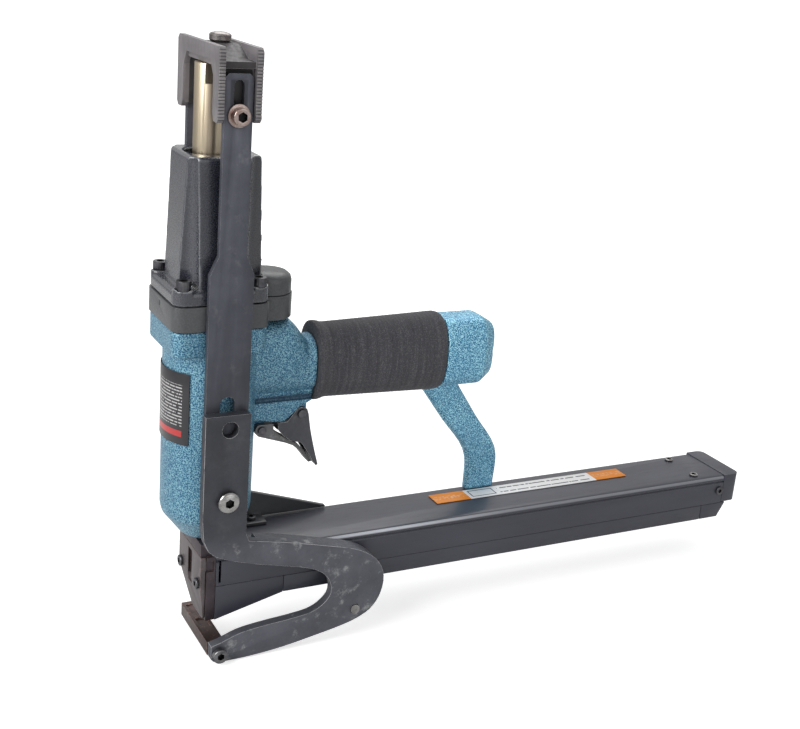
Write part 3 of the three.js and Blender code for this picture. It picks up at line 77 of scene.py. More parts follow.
# %% Camera
def make_camera():
    """The camera's matrix has right, up and backwards as its columns, then the position."""
    right = Vector((0.88803192, -0.4528071, 0.07978123))
    down = Vector((-0.07946061, -0.32205253, -0.94338125))
    ahead = Vector((0.45286347, 0.83141319, -0.32197325))
    place = Vector((-0.22838, -0.64754, 0.41499))
    lens = bpy.data.cameras.new("portrait_lens")
    lens.sensor_fit = "HORIZONTAL"
    lens.sensor_width = 36.0
    lens.lens = 56.232
    lens.clip_end = 60.0
    camera = bpy.data.objects.new("portrait_camera", lens)
    turn = Matrix((right, -down, -ahead)).transposed()
    camera.matrix_world = Matrix.Translation(place) @ turn.to_4x4()
    bpy.context.scene.collection.objects.link(camera)
    bpy.context.scene.camera = camera
    return camera


camera = make_camera()
print("camera at", [round(v, 3) for v in camera.matrix_world.translation])


# %% [markdown]
# ## Nodes in plain calls
# A finish is a small tree of nodes in front of one Principled shader. A short class keeps the
# tree readable: each call adds a node, or a few, and gives back an output. All patterns read
# Object coordinates, in metres, so a pattern of scale 600 has cells about 1.7 mm across, and
# it stays in place on its piece when a joint moves.

# %% The finish builder
class Finish:
    """One material: a Principled shader with its plain values, and calls that add nodes."""

    def __init__(self, name, **plain_values):
        self.material = bpy.data.materials.new(name)
        self.material.use_nodes = True
        self.tree = self.material.node_tree
        self.shader = self.tree.nodes["Principled BSDF"]
        for socket, value in plain_values.items():
            self.shader.inputs[socket.replace("_", " ")].default_value = value
        self.place = self.add("ShaderNodeTexCoord").outputs["Object"]

    def add(self, kind, **settings):
        node = self.tree.nodes.new(kind)
        for name, value in settings.items():
            setattr(node, name, value)
        return node

    def join(self, value, socket):
        """An output is linked to the socket; a plain number or colour is set on it."""
        if hasattr(value, "is_linked"):
            self.tree.links.new(value, socket)
        elif hasattr(value, "__len__") and len(value) == 3 and socket.type == "RGBA":
            socket.default_value = (*value, 1.0)
        else:
            socket.default_value = value

    def feed(self, socket, value):
        """The value goes to one of the shader's own sockets."""
        self.join(value, self.shader.inputs[socket])

    def axis(self, name):
        """One of the place's three coordinates, in metres."""
        node = self.add("ShaderNodeSeparateXYZ")
        self.join(self.place, node.inputs[0])
        return node.outputs[name]

    def point(self, **coordinates):
        """A place put together from single coordinates; one that isn't given is 0."""
        node = self.add("ShaderNodeCombineXYZ")
        for name, value in coordinates.items():
            self.join(value, node.inputs[name])
        return node.outputs["Vector"]

    def stretched(self, x, y, z):
        """The place, multiplied by a number along each axis."""
        node = self.add("ShaderNodeVectorMath", operation="MULTIPLY")
        self.join(self.place, node.inputs[0])
        node.inputs[1].default_value = (x, y, z)
        return node.outputs["Vector"]

    def bent(self, scale, reach):
        """The place, moved about by a noise of this scale, by at most reach metres."""
        wander = self.add("ShaderNodeTexNoise")
        self.join(self.place, wander.inputs["Vector"])
        wander.inputs["Scale"].default_value = scale
        node = self.add("ShaderNodeVectorMath", operation="MULTIPLY_ADD")
        self.join(wander.outputs["Color"], node.inputs[0])
        node.inputs[1].default_value = (reach, reach, reach)
        self.join(self.place, node.inputs[2])
        return node.outputs["Vector"]

    def noise(self, scale, detail=3.0, roughness=0.6, at=None):
        """Noise from 0 to 1, with about scale bumps to a metre."""
        node = self.add("ShaderNodeTexNoise")
        self.join(at or self.place, node.inputs["Vector"])
        node.inputs["Scale"].default_value = scale
        node.inputs["Detail"].default_value = detail
        node.inputs["Roughness"].default_value = roughness
        return node.outputs["Fac"]

    def cells(self, scale, at=None):
        """The distance to the middle of the nearest Voronoi cell, with scale cells to a metre."""
        node = self.add("ShaderNodeTexVoronoi", feature="F1")
        self.join(at or self.place, node.inputs["Vector"])
        node.inputs["Scale"].default_value = scale
        return node.outputs["Distance"]

    def maths(self, operation, *values):
        node = self.add("ShaderNodeMath", operation=operation)
        for value, socket in zip(values, node.inputs):
            self.join(value, socket)
        return node.outputs["Value"]

    def times(self, first, *others):
        """The product of all its values."""
        for value in others:
            first = self.maths("MULTIPLY", first, value)
        return first

    def levels(self, value, low, high, start=0.0, end=1.0):
        """Value from low to high becomes a number from start to end, held at both ends."""
        node = self.add("ShaderNodeMapRange", interpolation_type="SMOOTHSTEP")
        for socket, number in zip(("Value", "From Min", "From Max", "To Min", "To Max"),
                                  (value, low, high, start, end)):
            self.join(number, node.inputs[socket])
        return node.outputs["Result"]

    def between(self, value, low, high, soft=0.08 * MM):
        """1 where value lies between low and high, else 0, with soft edges."""
        up = self.levels(value, low - soft, low + soft)
        down = self.levels(value, high - soft, high + soft, 1.0, 0.0)
        return self.times(up, down)

    def patch(self, *spans):
        """1 where each value lies between its own low and high, else 0."""
        return self.times(*(self.between(*span) for span in spans))

    def ramp(self, value, *stops):
        node = self.add("ShaderNodeValToRGB")
        self.join(value, node.inputs["Fac"])
        points = node.color_ramp.elements
        while len(points) < len(stops):
            points.new(0.5)
        for point, (where, colour) in zip(points, stops):
            point.position = where
            point.color = (*colour, 1.0)
        return node.outputs["Color"]

    def blend(self, amount, first, second):
        """The first colour where amount is 0, the second where it is 1."""
        node = self.add("ShaderNodeMix", data_type="RGBA")
        for socket, value in ((0, amount), (6, first), (7, second)):
            self.join(value, node.inputs[socket])
        return node.outputs[2]

    def bump(self, height, depth, strength):
        """Height from 0 to 1 lifts the surface by up to depth, in metres."""
        node = self.add("ShaderNodeBump")
        node.inputs["Strength"].default_value = strength
        node.inputs["Distance"].default_value = depth
        self.join(height, node.inputs["Height"])
        self.feed("Normal", node.outputs["Normal"])


def tinted(colour, by, plus=0.0):
    """The colour made lighter or darker: each channel times by, plus the same bit of white."""
    return tuple(by * channel + plus for channel in colour)


print("finish builder ready")


# %% [markdown]
# ## Hammer-finish enamel
# The barrel, its horn, the handle's end and the strut are castings sprayed with a hammer
# finish: an enamel that pulls itself into small pools with pale rims while it dries. Flecks of
# pale cyan and dark blue sit about a millimetre apart. Noise bends the place first, and a
# Voronoi pattern then gives the pools, both in colour and in height. The enamel is made in two
# copies: a lighter one for the strut and the handle's end, a painted highlight, and a darker
# one for the barrel, painted shade. Between the barrel and the grip, above the trigger, a dark
# blue painted shadow lies along one seam.

# %% Hammer-finish enamel
POOL_TONES = ((0.42, (0.002, 0.020, 0.090)), (0.52, (0.010, 0.120, 0.285)),
              (0.61, (0.055, 0.290, 0.470)), (0.72, (0.40, 0.72, 0.84)))
# The seam's box and colour: a painted shadow, dark blue, along the groove under the horn.
SLOW_BLUE, SEAM_SHADOW_BLUE = (0.055, 0.20, 0.345), (0.006, 0.03, 0.07)
SEAM_SHADOW_BOX = np.array(((24.0, -14.5, 151.8), (62.5, 14.5, 155.3))) * MM


def hammered_enamel(name, light, shadow_box=None):
    """Pools: cell distance on a bent place. Colour runs dark, mid, pale; height follows.

    The third argument may give two places, the corners of a box where a dark painted shadow lies.
    """
    paint = Finish(name, Roughness=0.36, Metallic=0.45, Coat_Weight=0.2, Coat_Roughness=0.2)
    pools = paint.cells(1420.0, at=paint.bent(1300.0, 0.6 * MM))
    fleck = paint.noise(2600.0, 2.0, 0.7)
    mixed = paint.maths("MULTIPLY_ADD", fleck, 0.62, paint.times(pools, 0.62))
    colour = paint.ramp(mixed, *((where, tinted(tone, light)) for where, tone in POOL_TONES))
    slow = paint.levels(paint.noise(18.0, 2.0), 0.35, 0.7, 0.0, 0.25)
    colour = paint.blend(slow, colour, tinted(SLOW_BLUE, light))
    # Painted shadow: inside the box the enamel turns dark blue.
    if shadow_box is not None:
        inside = paint.patch(*((paint.axis(axis), low, high, 0.3 * MM)
                               for axis, low, high in zip("XYZ", *shadow_box)))
        colour = paint.blend(paint.times(inside, 0.8), colour, SEAM_SHADOW_BLUE)
    paint.feed("Base Color", colour)
    paint.feed("Roughness", paint.levels(mixed, 0.4, 0.7, 0.28, 0.48))
    paint.bump(mixed, 0.45 * MM, 0.55)
    return paint.material


# The barrel's copy is painted darker; the strut and the handle's end get a lighter copy, a
# painted highlight.
blue_enamel = hammered_enamel("hammered_blue", 0.78, SEAM_SHADOW_BOX)
lit_enamel = hammered_enamel("hammered_blue_lit", 1.32)
print("hammer finish made")


# %% [markdown]
# ## Painted black castings
# The cap and its tower wear a satin black enamel over sand-cast aluminium: fine grain, soft
# highlights, and slow paler areas. The tower's mesh is fine enough for the curve of the
# surface to find its outer edges, which get painted highlights as pale lines, and its inner
# corners, which get painted shade. The base plate has a small gauge slot in its front, painted
# black inside as shade.

# %% Satin black on cast metal
CAST_BLACK, CORNER_SHADE, UNLIT = (0.050, 0.053, 0.057), (0.004, 0.004, 0.006), (0.002,) * 3


def satin_black(name, colour=CAST_BLACK, roughness=0.42, grain=0.16 * MM, coat=0.25, rims=None,
                slot=None):
    """Fine noise is the sand's grain, and slow noise makes some areas a little paler.

    rims is the colour of painted highlights on a finely remeshed casting's outer edges;
    inner corners get painted shade.
    slot is half the width, and the lowest and highest place, of a slot painted black inside as
    shade.
    """
    paint = Finish(name, Roughness=roughness, Specular_IOR_Level=0.62, Coat_Weight=coat,
                   Coat_Roughness=0.16)
    slow = paint.noise(26.0, 3.0)
    dust = paint.noise(900.0, 3.0, 0.7)
    amount = paint.times(paint.levels(slow, 0.35, 0.7), paint.levels(dust, 0.3, 0.7))
    shown = paint.blend(amount, colour, tinted(colour, 1.5, 0.008))
    if rims:
        # Painted highlight on outer edges and painted shade in inner corners, from the curve of
        # the mesh.
        curve = paint.add("ShaderNodeNewGeometry").outputs["Pointiness"]
        shown = paint.blend(paint.levels(curve, 0.508, 0.56), shown, rims)
        shown = paint.blend(paint.levels(curve, 0.44, 0.494, 0.8, 0.0), shown, CORNER_SHADE)
    # Painted shade: inside the slot the colour is nearly black.
    if slot:
        half, low, high = slot
        hollow = paint.patch((paint.axis("Y"), -half, half), (paint.axis("Z"), low, high))
        shown = paint.blend(hollow, shown, UNLIT)
    paint.feed("Base Color", shown)
    paint.feed("Roughness", paint.levels(dust, 0.3, 0.7, roughness - 0.07, roughness + 0.08))
    paint.bump(paint.noise(1100.0, 4.0, 0.65), grain, 0.6)
    return paint.material


BASE_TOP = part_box("cap_base_plate")[1][2]
GAUGE_SLOT = (0.48 * MM, BASE_TOP - 5.3 * MM, BASE_TOP - 2.3 * MM)
cap_enamel = satin_black("cap_black")
# The gauge slot's inside is painted shade.
base_enamel = satin_black("base_black", slot=GAUGE_SLOT)
# The tower: painted highlights on its outer edges, painted shade in its inner corners.
tower_enamel = satin_black("tower_black", (0.019, 0.021, 0.032), roughness=0.27,
                           grain=0.34 * MM, coat=1.0, rims=(0.17, 0.175, 0.19))
print("cast enamel made")


# %% [markdown]
# ## Slate gloss on sheet steel
# The magazine is folded sheet with a smooth, glossy slate paint, so it mirrors the studio in
# long streaks. A clear coat over a dark base does that, with a very shallow orange peel. Along
# the fold at the channel's near top corner runs a painted highlight, one pale line, weaker
# towards the rear; the bevelled edges take a paler copy of the paint, another painted highlight.

# %% Slate gloss paint
SLATE, FOLD_HIGHLIGHT = (0.040, 0.042, 0.057), (0.66, 0.68, 0.74)


def slate_gloss(name, colour, fold=None):
    """A dark base under a coat, and a slow wave for the orange peel.

    fold is the place in Y and Z of the corner where the painted highlight runs.
    """
    paint = Finish(name, Roughness=0.42, Coat_Weight=0.3, Coat_Roughness=0.2)
    haze = paint.noise(40.0, 3.0, at=paint.stretched(0.25, 1.0, 1.0))
    shown = paint.blend(paint.levels(haze, 0.3, 0.75), colour, tinted(colour, 1.35))
    # Painted highlight: a pale line along the fold, weaker towards the rear.
    if fold:
        side, top = fold
        line = paint.times(
            paint.between(paint.axis("Y"), side + 0.3 * MM, side + 1.4 * MM, 0.3 * MM),
            paint.levels(paint.axis("Z"), top - 2.6 * MM, top - 2.0 * MM),
            paint.levels(paint.axis("X"), 100 * MM, 220 * MM, 1.0, 0.3))
        shown = paint.blend(line, shown, FOLD_HIGHLIGHT)
    paint.feed("Base Color", shown)
    scuffs = paint.noise(300.0, 4.0, 0.75, at=paint.stretched(0.15, 1.0, 1.0))
    paint.feed("Roughness", paint.levels(scuffs, 0.45, 0.75, 0.38, 0.52))
    paint.bump(paint.noise(420.0, 2.0, 0.5), 0.05 * MM, 0.35)
    return paint.material


channel_low, channel_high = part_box("magazine_channel")
slate_paint = slate_gloss("slate_gloss", SLATE)
slate_channel = slate_gloss("slate_channel", SLATE, (channel_low[1], channel_high[2]))
# A paler copy of the paint for bevelled edges: a painted highlight.
slate_edge_highlight = slate_gloss("slate_edge_highlight", (0.20, 0.205, 0.23))
print("slate paint made")


# %% [markdown]
# ## Blackened steel and its worn edges
# The two straps, the yoke, the hook and the trigger's parts are blackened steel. Black oxide
# is thin: it goes grey with handling and rubs through to bright metal on edges. The flat faces
# take a grey with slow clouds, and the bevelled edges take a second finish, broken up by
# noise. On the straps, the hook and the yoke, a function of the place paints shade: it darkens
# the colour in some places, and fewer scuffs show there.

# %% Blackened steel
EVEN = (1, 1, 1)  # a pattern that isn't stretched along any axis
BLACK = (0.0, 0.0, 0.0)


def blackened_steel(name, colour, scuff=(0.30, 0.30, 0.31), scuffed=0.25, along=(1, 1, 0.12),
                    kept=None):
    """Clouds of two greys, fine streaks along the part, and scuffs where noise is high.

    kept may be a function of the finish that gives how much of the colour is left: painted shade,
    with fewer scuffs where less is left.
    """
    steel = Finish(name, Metallic=0.55, Roughness=0.46)
    clouds = steel.noise(34.0, 4.0, 0.6)
    streaks = steel.noise(520.0, 3.0, 0.7, at=steel.stretched(*along))
    base = steel.blend(steel.levels(clouds, 0.3, 0.7), tinted(colour, 0.72), colour)
    rubbed = steel.levels(steel.noise(95.0, 6.0, 0.72), 0.54, 0.71, 0.0, scuffed)
    if kept:
        left = kept(steel)
        rubbed = steel.times(rubbed, steel.levels(left, 0.5, 1.0, 0.12, 1.0))
    shown = steel.blend(rubbed, base, scuff)
    if kept:
        shown = steel.blend(left, BLACK, shown)
    steel.feed("Base Color", shown)
    steel.feed("Roughness", steel.levels(streaks, 0.3, 0.75, 0.38, 0.58))
    steel.bump(streaks, 0.06 * MM, 0.5)
    return steel.material


def rubbed_edge(name, dark, bright, share):
    """Edges: noise decides where the oxide is gone, share being about how much of the edge."""
    steel = Finish(name, Metallic=0.8, Roughness=0.36)
    patches = steel.noise(160.0, 5.0, 0.7)
    gone = steel.levels(patches, 0.62 - 0.3 * share, 0.74 - 0.3 * share)
    steel.feed("Base Color", steel.blend(gone, dark, bright))
    steel.feed("Roughness", steel.levels(patches, 0.3, 0.7, 0.5, 0.3))
    return steel.material


STRAP_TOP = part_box("near_strap")[1][2]
# The band around the strap's slot where shade is painted.
SLOT_SHADE_HALF = 4.7 * MM
SLOT_SHADE_LOW, SLOT_SHADE_HIGH = STRAP_TOP - 25.5 * MM, STRAP_TOP - 3.2 * MM


def strap_shade_and_scuffs(steel):
    """Painted shade: darker towards the foot and in a band around the slot, where fewer scuffs
    show.
    """
    upward = steel.levels(steel.axis("Z"), 100 * MM, 270 * MM, 0.62, 1.0)
    slot_shade = steel.patch((steel.axis("X"), -SLOT_SHADE_HALF, SLOT_SHADE_HALF, 0.4 * MM),
                        (steel.axis("Z"), SLOT_SHADE_LOW, SLOT_SHADE_HIGH, 0.6 * MM))
    return steel.times(upward, steel.levels(slot_shade, 0.0, 1.0, 1.0, 0.62))


def hook_shade_and_scuffs(steel):
    """Painted shade: the hook's upright plate is darker than the arm below, and has fewer scuffs.
    """
    return steel.levels(steel.axis("Z"), 70 * MM, 88 * MM, 1.0, 0.52)


PLATE_INSIDE, TOOTH_EDGE = 8.0 * MM, 33.3 * MM
TOOTH_START, TOOTH_PITCH = 322.4 * MM, 1.7 * MM


def yoke_shade_and_scuffs(steel):
    """Painted shade between the yoke's two ground plates and in its tooth gaps; fewer scuffs
    there.
    """
    inside = steel.levels(steel.maths("ABSOLUTE", steel.axis("X")), PLATE_INSIDE,
                          PLATE_INSIDE + 0.7 * MM, 0.22, 1.0)
    teeth = steel.times(steel.maths("SUBTRACT", steel.axis("Z"), TOOTH_START), 1 / TOOTH_PITCH)
    gap = steel.levels(steel.maths("FRACT", teeth), 0.42, 0.52, 0.55, 0.0)
    rim = steel.levels(steel.maths("ABSOLUTE", steel.axis("Y")), TOOTH_EDGE,
                       TOOTH_EDGE + 0.3 * MM)
    return steel.times(inside, steel.maths("SUBTRACT", 1.0, steel.times(gap, rim)))


# The straps, the hook and the yoke take painted shade through kept.
strap_steel = blackened_steel("strap_steel", (0.115, 0.12, 0.147), kept=strap_shade_and_scuffs)
strap_edge = rubbed_edge("strap_edge", (0.20, 0.20, 0.22), (0.66, 0.65, 0.64), 0.85)
hook_steel = blackened_steel("hook_steel", (0.145, 0.15, 0.175), (0.40, 0.41, 0.40), 0.8, EVEN,
                             hook_shade_and_scuffs)
yoke_steel = blackened_steel("yoke_steel", (0.31, 0.29, 0.305), (0.42, 0.41, 0.40), 0.35,
                             kept=yoke_shade_and_scuffs)
yoke_edge = rubbed_edge("yoke_edge", (0.30, 0.285, 0.295), (0.50, 0.48, 0.46), 0.45)
lever_steel = blackened_steel("lever_steel", (0.11, 0.112, 0.125), (0.26, 0.26, 0.26), 0.3,
                              EVEN)
pressed_steel = blackened_steel("pressed_steel", (0.20, 0.20, 0.205), (0.45, 0.45, 0.44), 0.8,
                                EVEN)
print("blackened steels made")


# %% [markdown]
# ## Blued steel with rust-coloured wear
# The nose and the anvil get hot and hit carton all day. Their bluing has turned brownish
# black, with copper-red edges where it is worn thin. In the nose plate's slot, the walls
# behind the front face get painted shade.

# %% Brown nose steel
def brown_steel(name, colour, rust, share, kept=None):
    """Clouds of two browns with rust-coloured spots; kept is as for blackened steel."""
    steel = Finish(name, Metallic=0.6, Roughness=0.42)
    clouds = steel.noise(60.0, 4.0, 0.65)
    spots = steel.levels(steel.noise(330.0, 6.0, 0.75), 0.62 - share, 0.8 - share)
    base = steel.blend(steel.levels(clouds, 0.3, 0.7), tinted(colour, 0.6), colour)
    shown = steel.blend(spots, base, rust)
    if kept:
        shown = steel.blend(kept(steel), BLACK, shown)
    steel.feed("Base Color", shown)
    steel.feed("Roughness", steel.levels(clouds, 0.3, 0.7, 0.34, 0.52))
    steel.bump(steel.noise(900.0, 3.0), 0.05 * MM, 0.5)
    return steel.material


PLATE_FRONT, PLATE_TIP, PLATE_SIDE = -8.35 * MM, 40.0 * MM, 18.5 * MM


def plate_painted_shade(steel):
    """Painted shade behind the front face, apart from the tip, which leans back, and the outer
    sides.
    """
    face = steel.levels(steel.axis("X"), PLATE_FRONT, PLATE_FRONT + 0.45 * MM, 1.0, 0.12)
    tip = steel.levels(steel.axis("Z"), PLATE_TIP, PLATE_TIP + 1.2 * MM, 0.9, 0.0)
    sides = steel.levels(steel.maths("ABSOLUTE", steel.axis("Y")), PLATE_SIDE,
                         PLATE_SIDE + 1.0 * MM, 0.0, 0.8)
    return steel.maths("MAXIMUM", face, steel.maths("MAXIMUM", tip, sides))


nose_steel = brown_steel("nose_brown", (0.085, 0.068, 0.078), (0.20, 0.12, 0.10), 0.06)
nose_edge = brown_steel("nose_edge", (0.17, 0.12, 0.11), (0.42, 0.25, 0.20), 0.16)
plate_steel = brown_steel("nose_plate_brown", (0.19, 0.165, 0.17), (0.26, 0.19, 0.17), 0.05,
                          plate_painted_shade)
anvil_steel = brown_steel("anvil_brown", (0.12, 0.085, 0.08), (0.30, 0.165, 0.13), 0.07)
print("nose steels made")


# %% [markdown]
# ## Screws, ground steel, plated rod
# Screws are plain steel with a little tarnish. The clamp rod is ground and yellow-plated: a
# metal whose colour drifts between pale gold and tan in long vertical streaks. The pattern
# is stretched along the rod, so it never looks like spots.

# %% Bare metals
def bare_metal(name, colour, tarnish, roughness, along=EVEN, scratch=0.03 * MM):
    """Tarnish follows noise; roughness varies a little with finer noise."""
    steel = Finish(name, Metallic=1.0, Roughness=roughness)
    slow = steel.noise(150.0, 4.0, 0.65, at=steel.stretched(*along))
    fine = steel.noise(1400.0, 2.0, at=steel.stretched(*along))
    steel.feed("Base Color", steel.blend(steel.levels(slow, 0.35, 0.72), colour, tarnish))
    steel.feed("Roughness", steel.levels(fine, 0.3, 0.7, roughness - 0.06, roughness + 0.1))
    steel.bump(fine, scratch, 0.4)
    return steel.material


screw_steel = bare_metal("screw_steel", (0.40, 0.38, 0.37), (0.22, 0.19, 0.18), 0.3)
bright_screw = bare_metal("bright_screw", (0.44, 0.435, 0.43), (0.22, 0.21, 0.20), 0.22)
dark_screw = bare_metal("dark_screw", (0.15, 0.15, 0.16), (0.07, 0.07, 0.08), 0.34)
oiled_screw = bare_metal("oiled_screw", (0.27, 0.265, 0.27), (0.11, 0.11, 0.12), 0.3)
# Near black for the inside of socket holes: painted shade.
socket_painted_shade = bare_metal("socket_painted_shade", (0.045, 0.043, 0.045), (0.02, 0.02, 0.02), 0.5)
ground_steel = bare_metal("ground_steel", (0.58, 0.58, 0.59), (0.45, 0.44, 0.43), 0.24)
bronzed_screw = bare_metal("bronzed_screw", (0.50, 0.41, 0.38), (0.30, 0.21, 0.18), 0.3)
plated_gold = bare_metal("plated_gold", (0.62, 0.53, 0.385), (0.53, 0.43, 0.33), 0.33,
                         (0.6, 0.6, 0.006), 0.003 * MM)
turned_brass = bare_metal("turned_brass", (0.70, 0.56, 0.28), (0.45, 0.36, 0.20), 0.28)
print("bare metals made")


# %% [markdown]
# ## Foam and urethane
# The grip is a foam sleeve: dark, nearly without gloss, with faint bands around it from the
# extruder. The bumper inside the cylinder is amber urethane.

# %% Soft finishes
def foam_rubber(name):
    """Fine pores from cells, and bands that follow X, both darkening the foam a little."""
    foam = Finish(name, Roughness=0.88, Specular_IOR_Level=0.35, Sheen_Weight=0.15,
                  Sheen_Roughness=0.5)
    pores = foam.cells(1500.0)
    bands = foam.noise(430.0, 2.0, 0.6, at=foam.stretched(1, 0.06, 0.06))
    mixed = foam.maths("MULTIPLY_ADD", bands, 0.55, foam.times(pores, 0.55))
    foam.feed("Base Color", foam.ramp(mixed, (0.36, (0.045, 0.044, 0.052)),
                                      (0.62, (0.078, 0.078, 0.088)),
                                      (0.80, (0.13, 0.125, 0.135))))
    foam.bump(mixed, 0.4 * MM, 0.5)
    return foam.material


def amber_urethane(name):
    soft = Finish(name, Roughness=0.35, Subsurface_Weight=0.1)
    soft.feed("Base Color", soft.blend(soft.noise(80.0, 3.0), (0.62, 0.40, 0.12),
                                       (0.74, 0.52, 0.20)))
    return soft.material


grip_foam = foam_rubber("grip_foam")
bumper_amber = amber_urethane("bumper_amber")
print("foam and urethane made")


# %% [markdown]
# ## Printed films
# Two stickers carry no words here. The black one on the barrel keeps only thin pale dashes in
# rows and a red band near its foot. The long one on the magazine is orange at both ends and
# white between, with grey rules. Both patterns are worked out from the place's coordinates: a
# row is snapped to one number first, so that the noise breaks it into dashes and not spots.

# %% Printed films
def barrel_film(name):
    """Across the film: angle around the barrel times its radius. Up the film: Z."""
    radius, pitch = 27.8 * MM, 1.9 * MM
    film = Finish(name, Roughness=0.32, Coat_Weight=0.3, Coat_Roughness=0.1)
    turn = film.maths("ARCTAN2", film.axis("Y"), film.times(film.axis("X"), -1.0))
    across, up = film.times(turn, radius), film.axis("Z")
    lines = film.levels(film.maths("PINGPONG", up, pitch / 2), 0.52 * MM, 0.66 * MM)
    row = film.point(X=across, Z=film.maths("SNAP", up, pitch))
    words = film.levels(film.noise(780.0, 1.0, 0.5, at=row), 0.41, 0.45)
    block = film.patch((across, -18.8 * MM, 17.2 * MM), (up, 145.2 * MM, 170.0 * MM))
    dashes = film.times(lines, words, block)
    base = film.blend(dashes, (0.022, 0.021, 0.025), (0.52, 0.52, 0.52))
    band = film.patch((across, -18.8 * MM, 18.6 * MM), (up, 138.8 * MM, 142.5 * MM))
    film.feed("Base Color", film.blend(band, base, (0.52, 0.03, 0.03)))
    film.bump(film.noise(500.0, 2.0), 0.03 * MM, 0.3)
    return film.material


def magazine_film(name):
    """X picks the orange ends and the white middle; short rules lie along X in two rows."""
    film = Finish(name, Roughness=0.45, Specular_IOR_Level=0.3, Coat_Weight=0.08,
                  Coat_Roughness=0.15)
    along, across = film.axis("X"), film.axis("Y")
    white = film.between(along, 187.0 * MM, 290.0 * MM)
    base = film.blend(white, (0.86, 0.27, 0.012), (0.93, 0.93, 0.93))
    rows = film.maths("ADD", film.between(across, 2.0 * MM, 3.2 * MM),
                      film.between(across, 8.0 * MM, 9.2 * MM))
    row = film.point(X=along, Y=film.maths("SNAP", across, 6.0 * MM))
    words = film.levels(film.noise(330.0, 2.0, 0.6, at=row), 0.42, 0.46)
    text = film.times(rows, words, film.between(along, 212.0 * MM, 286.0 * MM))
    outer = film.patch((along, 189.5 * MM, 208.5 * MM), (across, 1.4 * MM, 10.4 * MM))
    inner = film.patch((along, 190.3 * MM, 207.7 * MM), (across, 2.2 * MM, 9.6 * MM))
    ink = film.maths("MAXIMUM", text, film.maths("SUBTRACT", outer, inner))
    inked = film.blend(ink, base, (0.09, 0.10, 0.12))
    blots = film.levels(film.noise(420.0, 2.0, 0.6, at=film.stretched(1, 1, 0)), 0.5, 0.54)
    pale = film.times(film.maths("SUBTRACT", 1.0, white),
                      film.between(across, 3.6 * MM, 8.2 * MM), blots, 0.55)
    film.feed("Base Color", film.blend(pale, inked, (0.86, 0.60, 0.40)))
    return film.material


barrel_print = barrel_film("barrel_film")
magazine_print = magazine_film("magazine_film")
print("printed films made")


# %% [markdown]
# ## Edges that catch light
# No real part has perfectly sharp edges. The CAD meshes arrive as loose triangles, so a small
# node group merges them first, drops the imported normals, and marks edges over 30 degrees as
# sharp. A Bevel then rounds each edge, and may give the new faces a second material: that is
# where paint and oxide wear off first. The vertices of the CAD mesh itself stay untouched.

# %% Merge, shade and bevel
SHARP, FLAT = 0.52, 0.01  # radians: about 30 degrees, and about half a degree


def merge_group():
    """Merge by distance, smooth all faces, then make edges over SHARP radians sharp."""
    group = bpy.data.node_groups.new("merge_and_shade", "GeometryNodeTree")
    for way in ("INPUT", "OUTPUT"):
        group.interface.new_socket("Geometry", in_out=way, socket_type="NodeSocketGeometry")
    nodes, links = group.nodes, group.links
    start, end = nodes.new("NodeGroupInput"), nodes.new("NodeGroupOutput")
    drop = nodes.new("GeometryNodeRemoveAttribute")
    drop.inputs["Name"].default_value = "custom_normal"
    merge = nodes.new("GeometryNodeMergeByDistance")
    merge.inputs["Distance"].default_value = 0.01 * MM
    smooth, sharp = (nodes.new("GeometryNodeSetShadeSmooth") for _ in range(2))
    smooth.domain, sharp.domain = "FACE", "EDGE"
    angle = nodes.new("GeometryNodeInputMeshEdgeAngle")
    small = nodes.new("FunctionNodeCompare")
    small.data_type, small.operation = "FLOAT", "LESS_THAN"
    small.inputs["B"].default_value = SHARP
    links.new(angle.outputs["Unsigned Angle"], small.inputs["A"])
    links.new(small.outputs["Result"], sharp.inputs["Shade Smooth"])
    chain = [start, drop, merge, smooth, sharp, end]
    for before, after in zip(chain, chain[1:]):
        links.new(before.outputs[0], after.inputs[0])
    return group


merge_and_shade = merge_group()


def shade(piece):
    piece.modifiers.new("merge_and_shade", "NODES").node_group = merge_and_shade


def wear(node, *finishes):
    """The CAD node with its finishes, the first on all faces; merged and shaded."""
    piece = frame["nodes"][node]
    piece.data.materials.clear()
    for finish in finishes:
        piece.data.materials.append(finish)
    shade(piece)
    return piece


def dress(node, width, finish, edge=None, segments=2):
    """Gives a CAD node its finish, and bevels its edges, which may take a second finish."""
    piece = wear(node, finish, edge) if edge else wear(node, finish)
    flat = piece.modifiers.new("flat_faces", "DECIMATE")
    flat.decimate_type, flat.angle_limit = "DISSOLVE", FLAT
    bevel = piece.modifiers.new("edges", "BEVEL")
    bevel.width, bevel.segments = width, segments
    bevel.limit_method, bevel.angle_limit = "ANGLE", SHARP
    bevel.use_clamp_overlap = True
    bevel.material = 1 if edge else -1
    shade(piece)


def dress_casting(node, voxel, rounds, finish):
    """A casting's edges and inner corners are both round: remesh, then relax the surface."""
    piece = wear(node, finish)
    remesh = piece.modifiers.new("cast_skin", "REMESH")
    remesh.mode, remesh.voxel_size, remesh.use_smooth_shade = "VOXEL", voxel, True
    relax = piece.modifiers.new("round_corners", "SMOOTH")
    relax.factor, relax.iterations = 0.5, rounds


print("merge, shade and bevel ready")


# %% [markdown]
# ## Dressing the frame
# Each node now gets its finish. The castings are remeshed, because sand leaves fillets in
# every inner corner and a bevel only rounds the outer ones. The rest gets bevels of the width
# that the real part shows: wide on the forged hook, thin on pins and films.

# %% Castings
dress_casting("body_casting", 0.95 * MM, 2, blue_enamel)
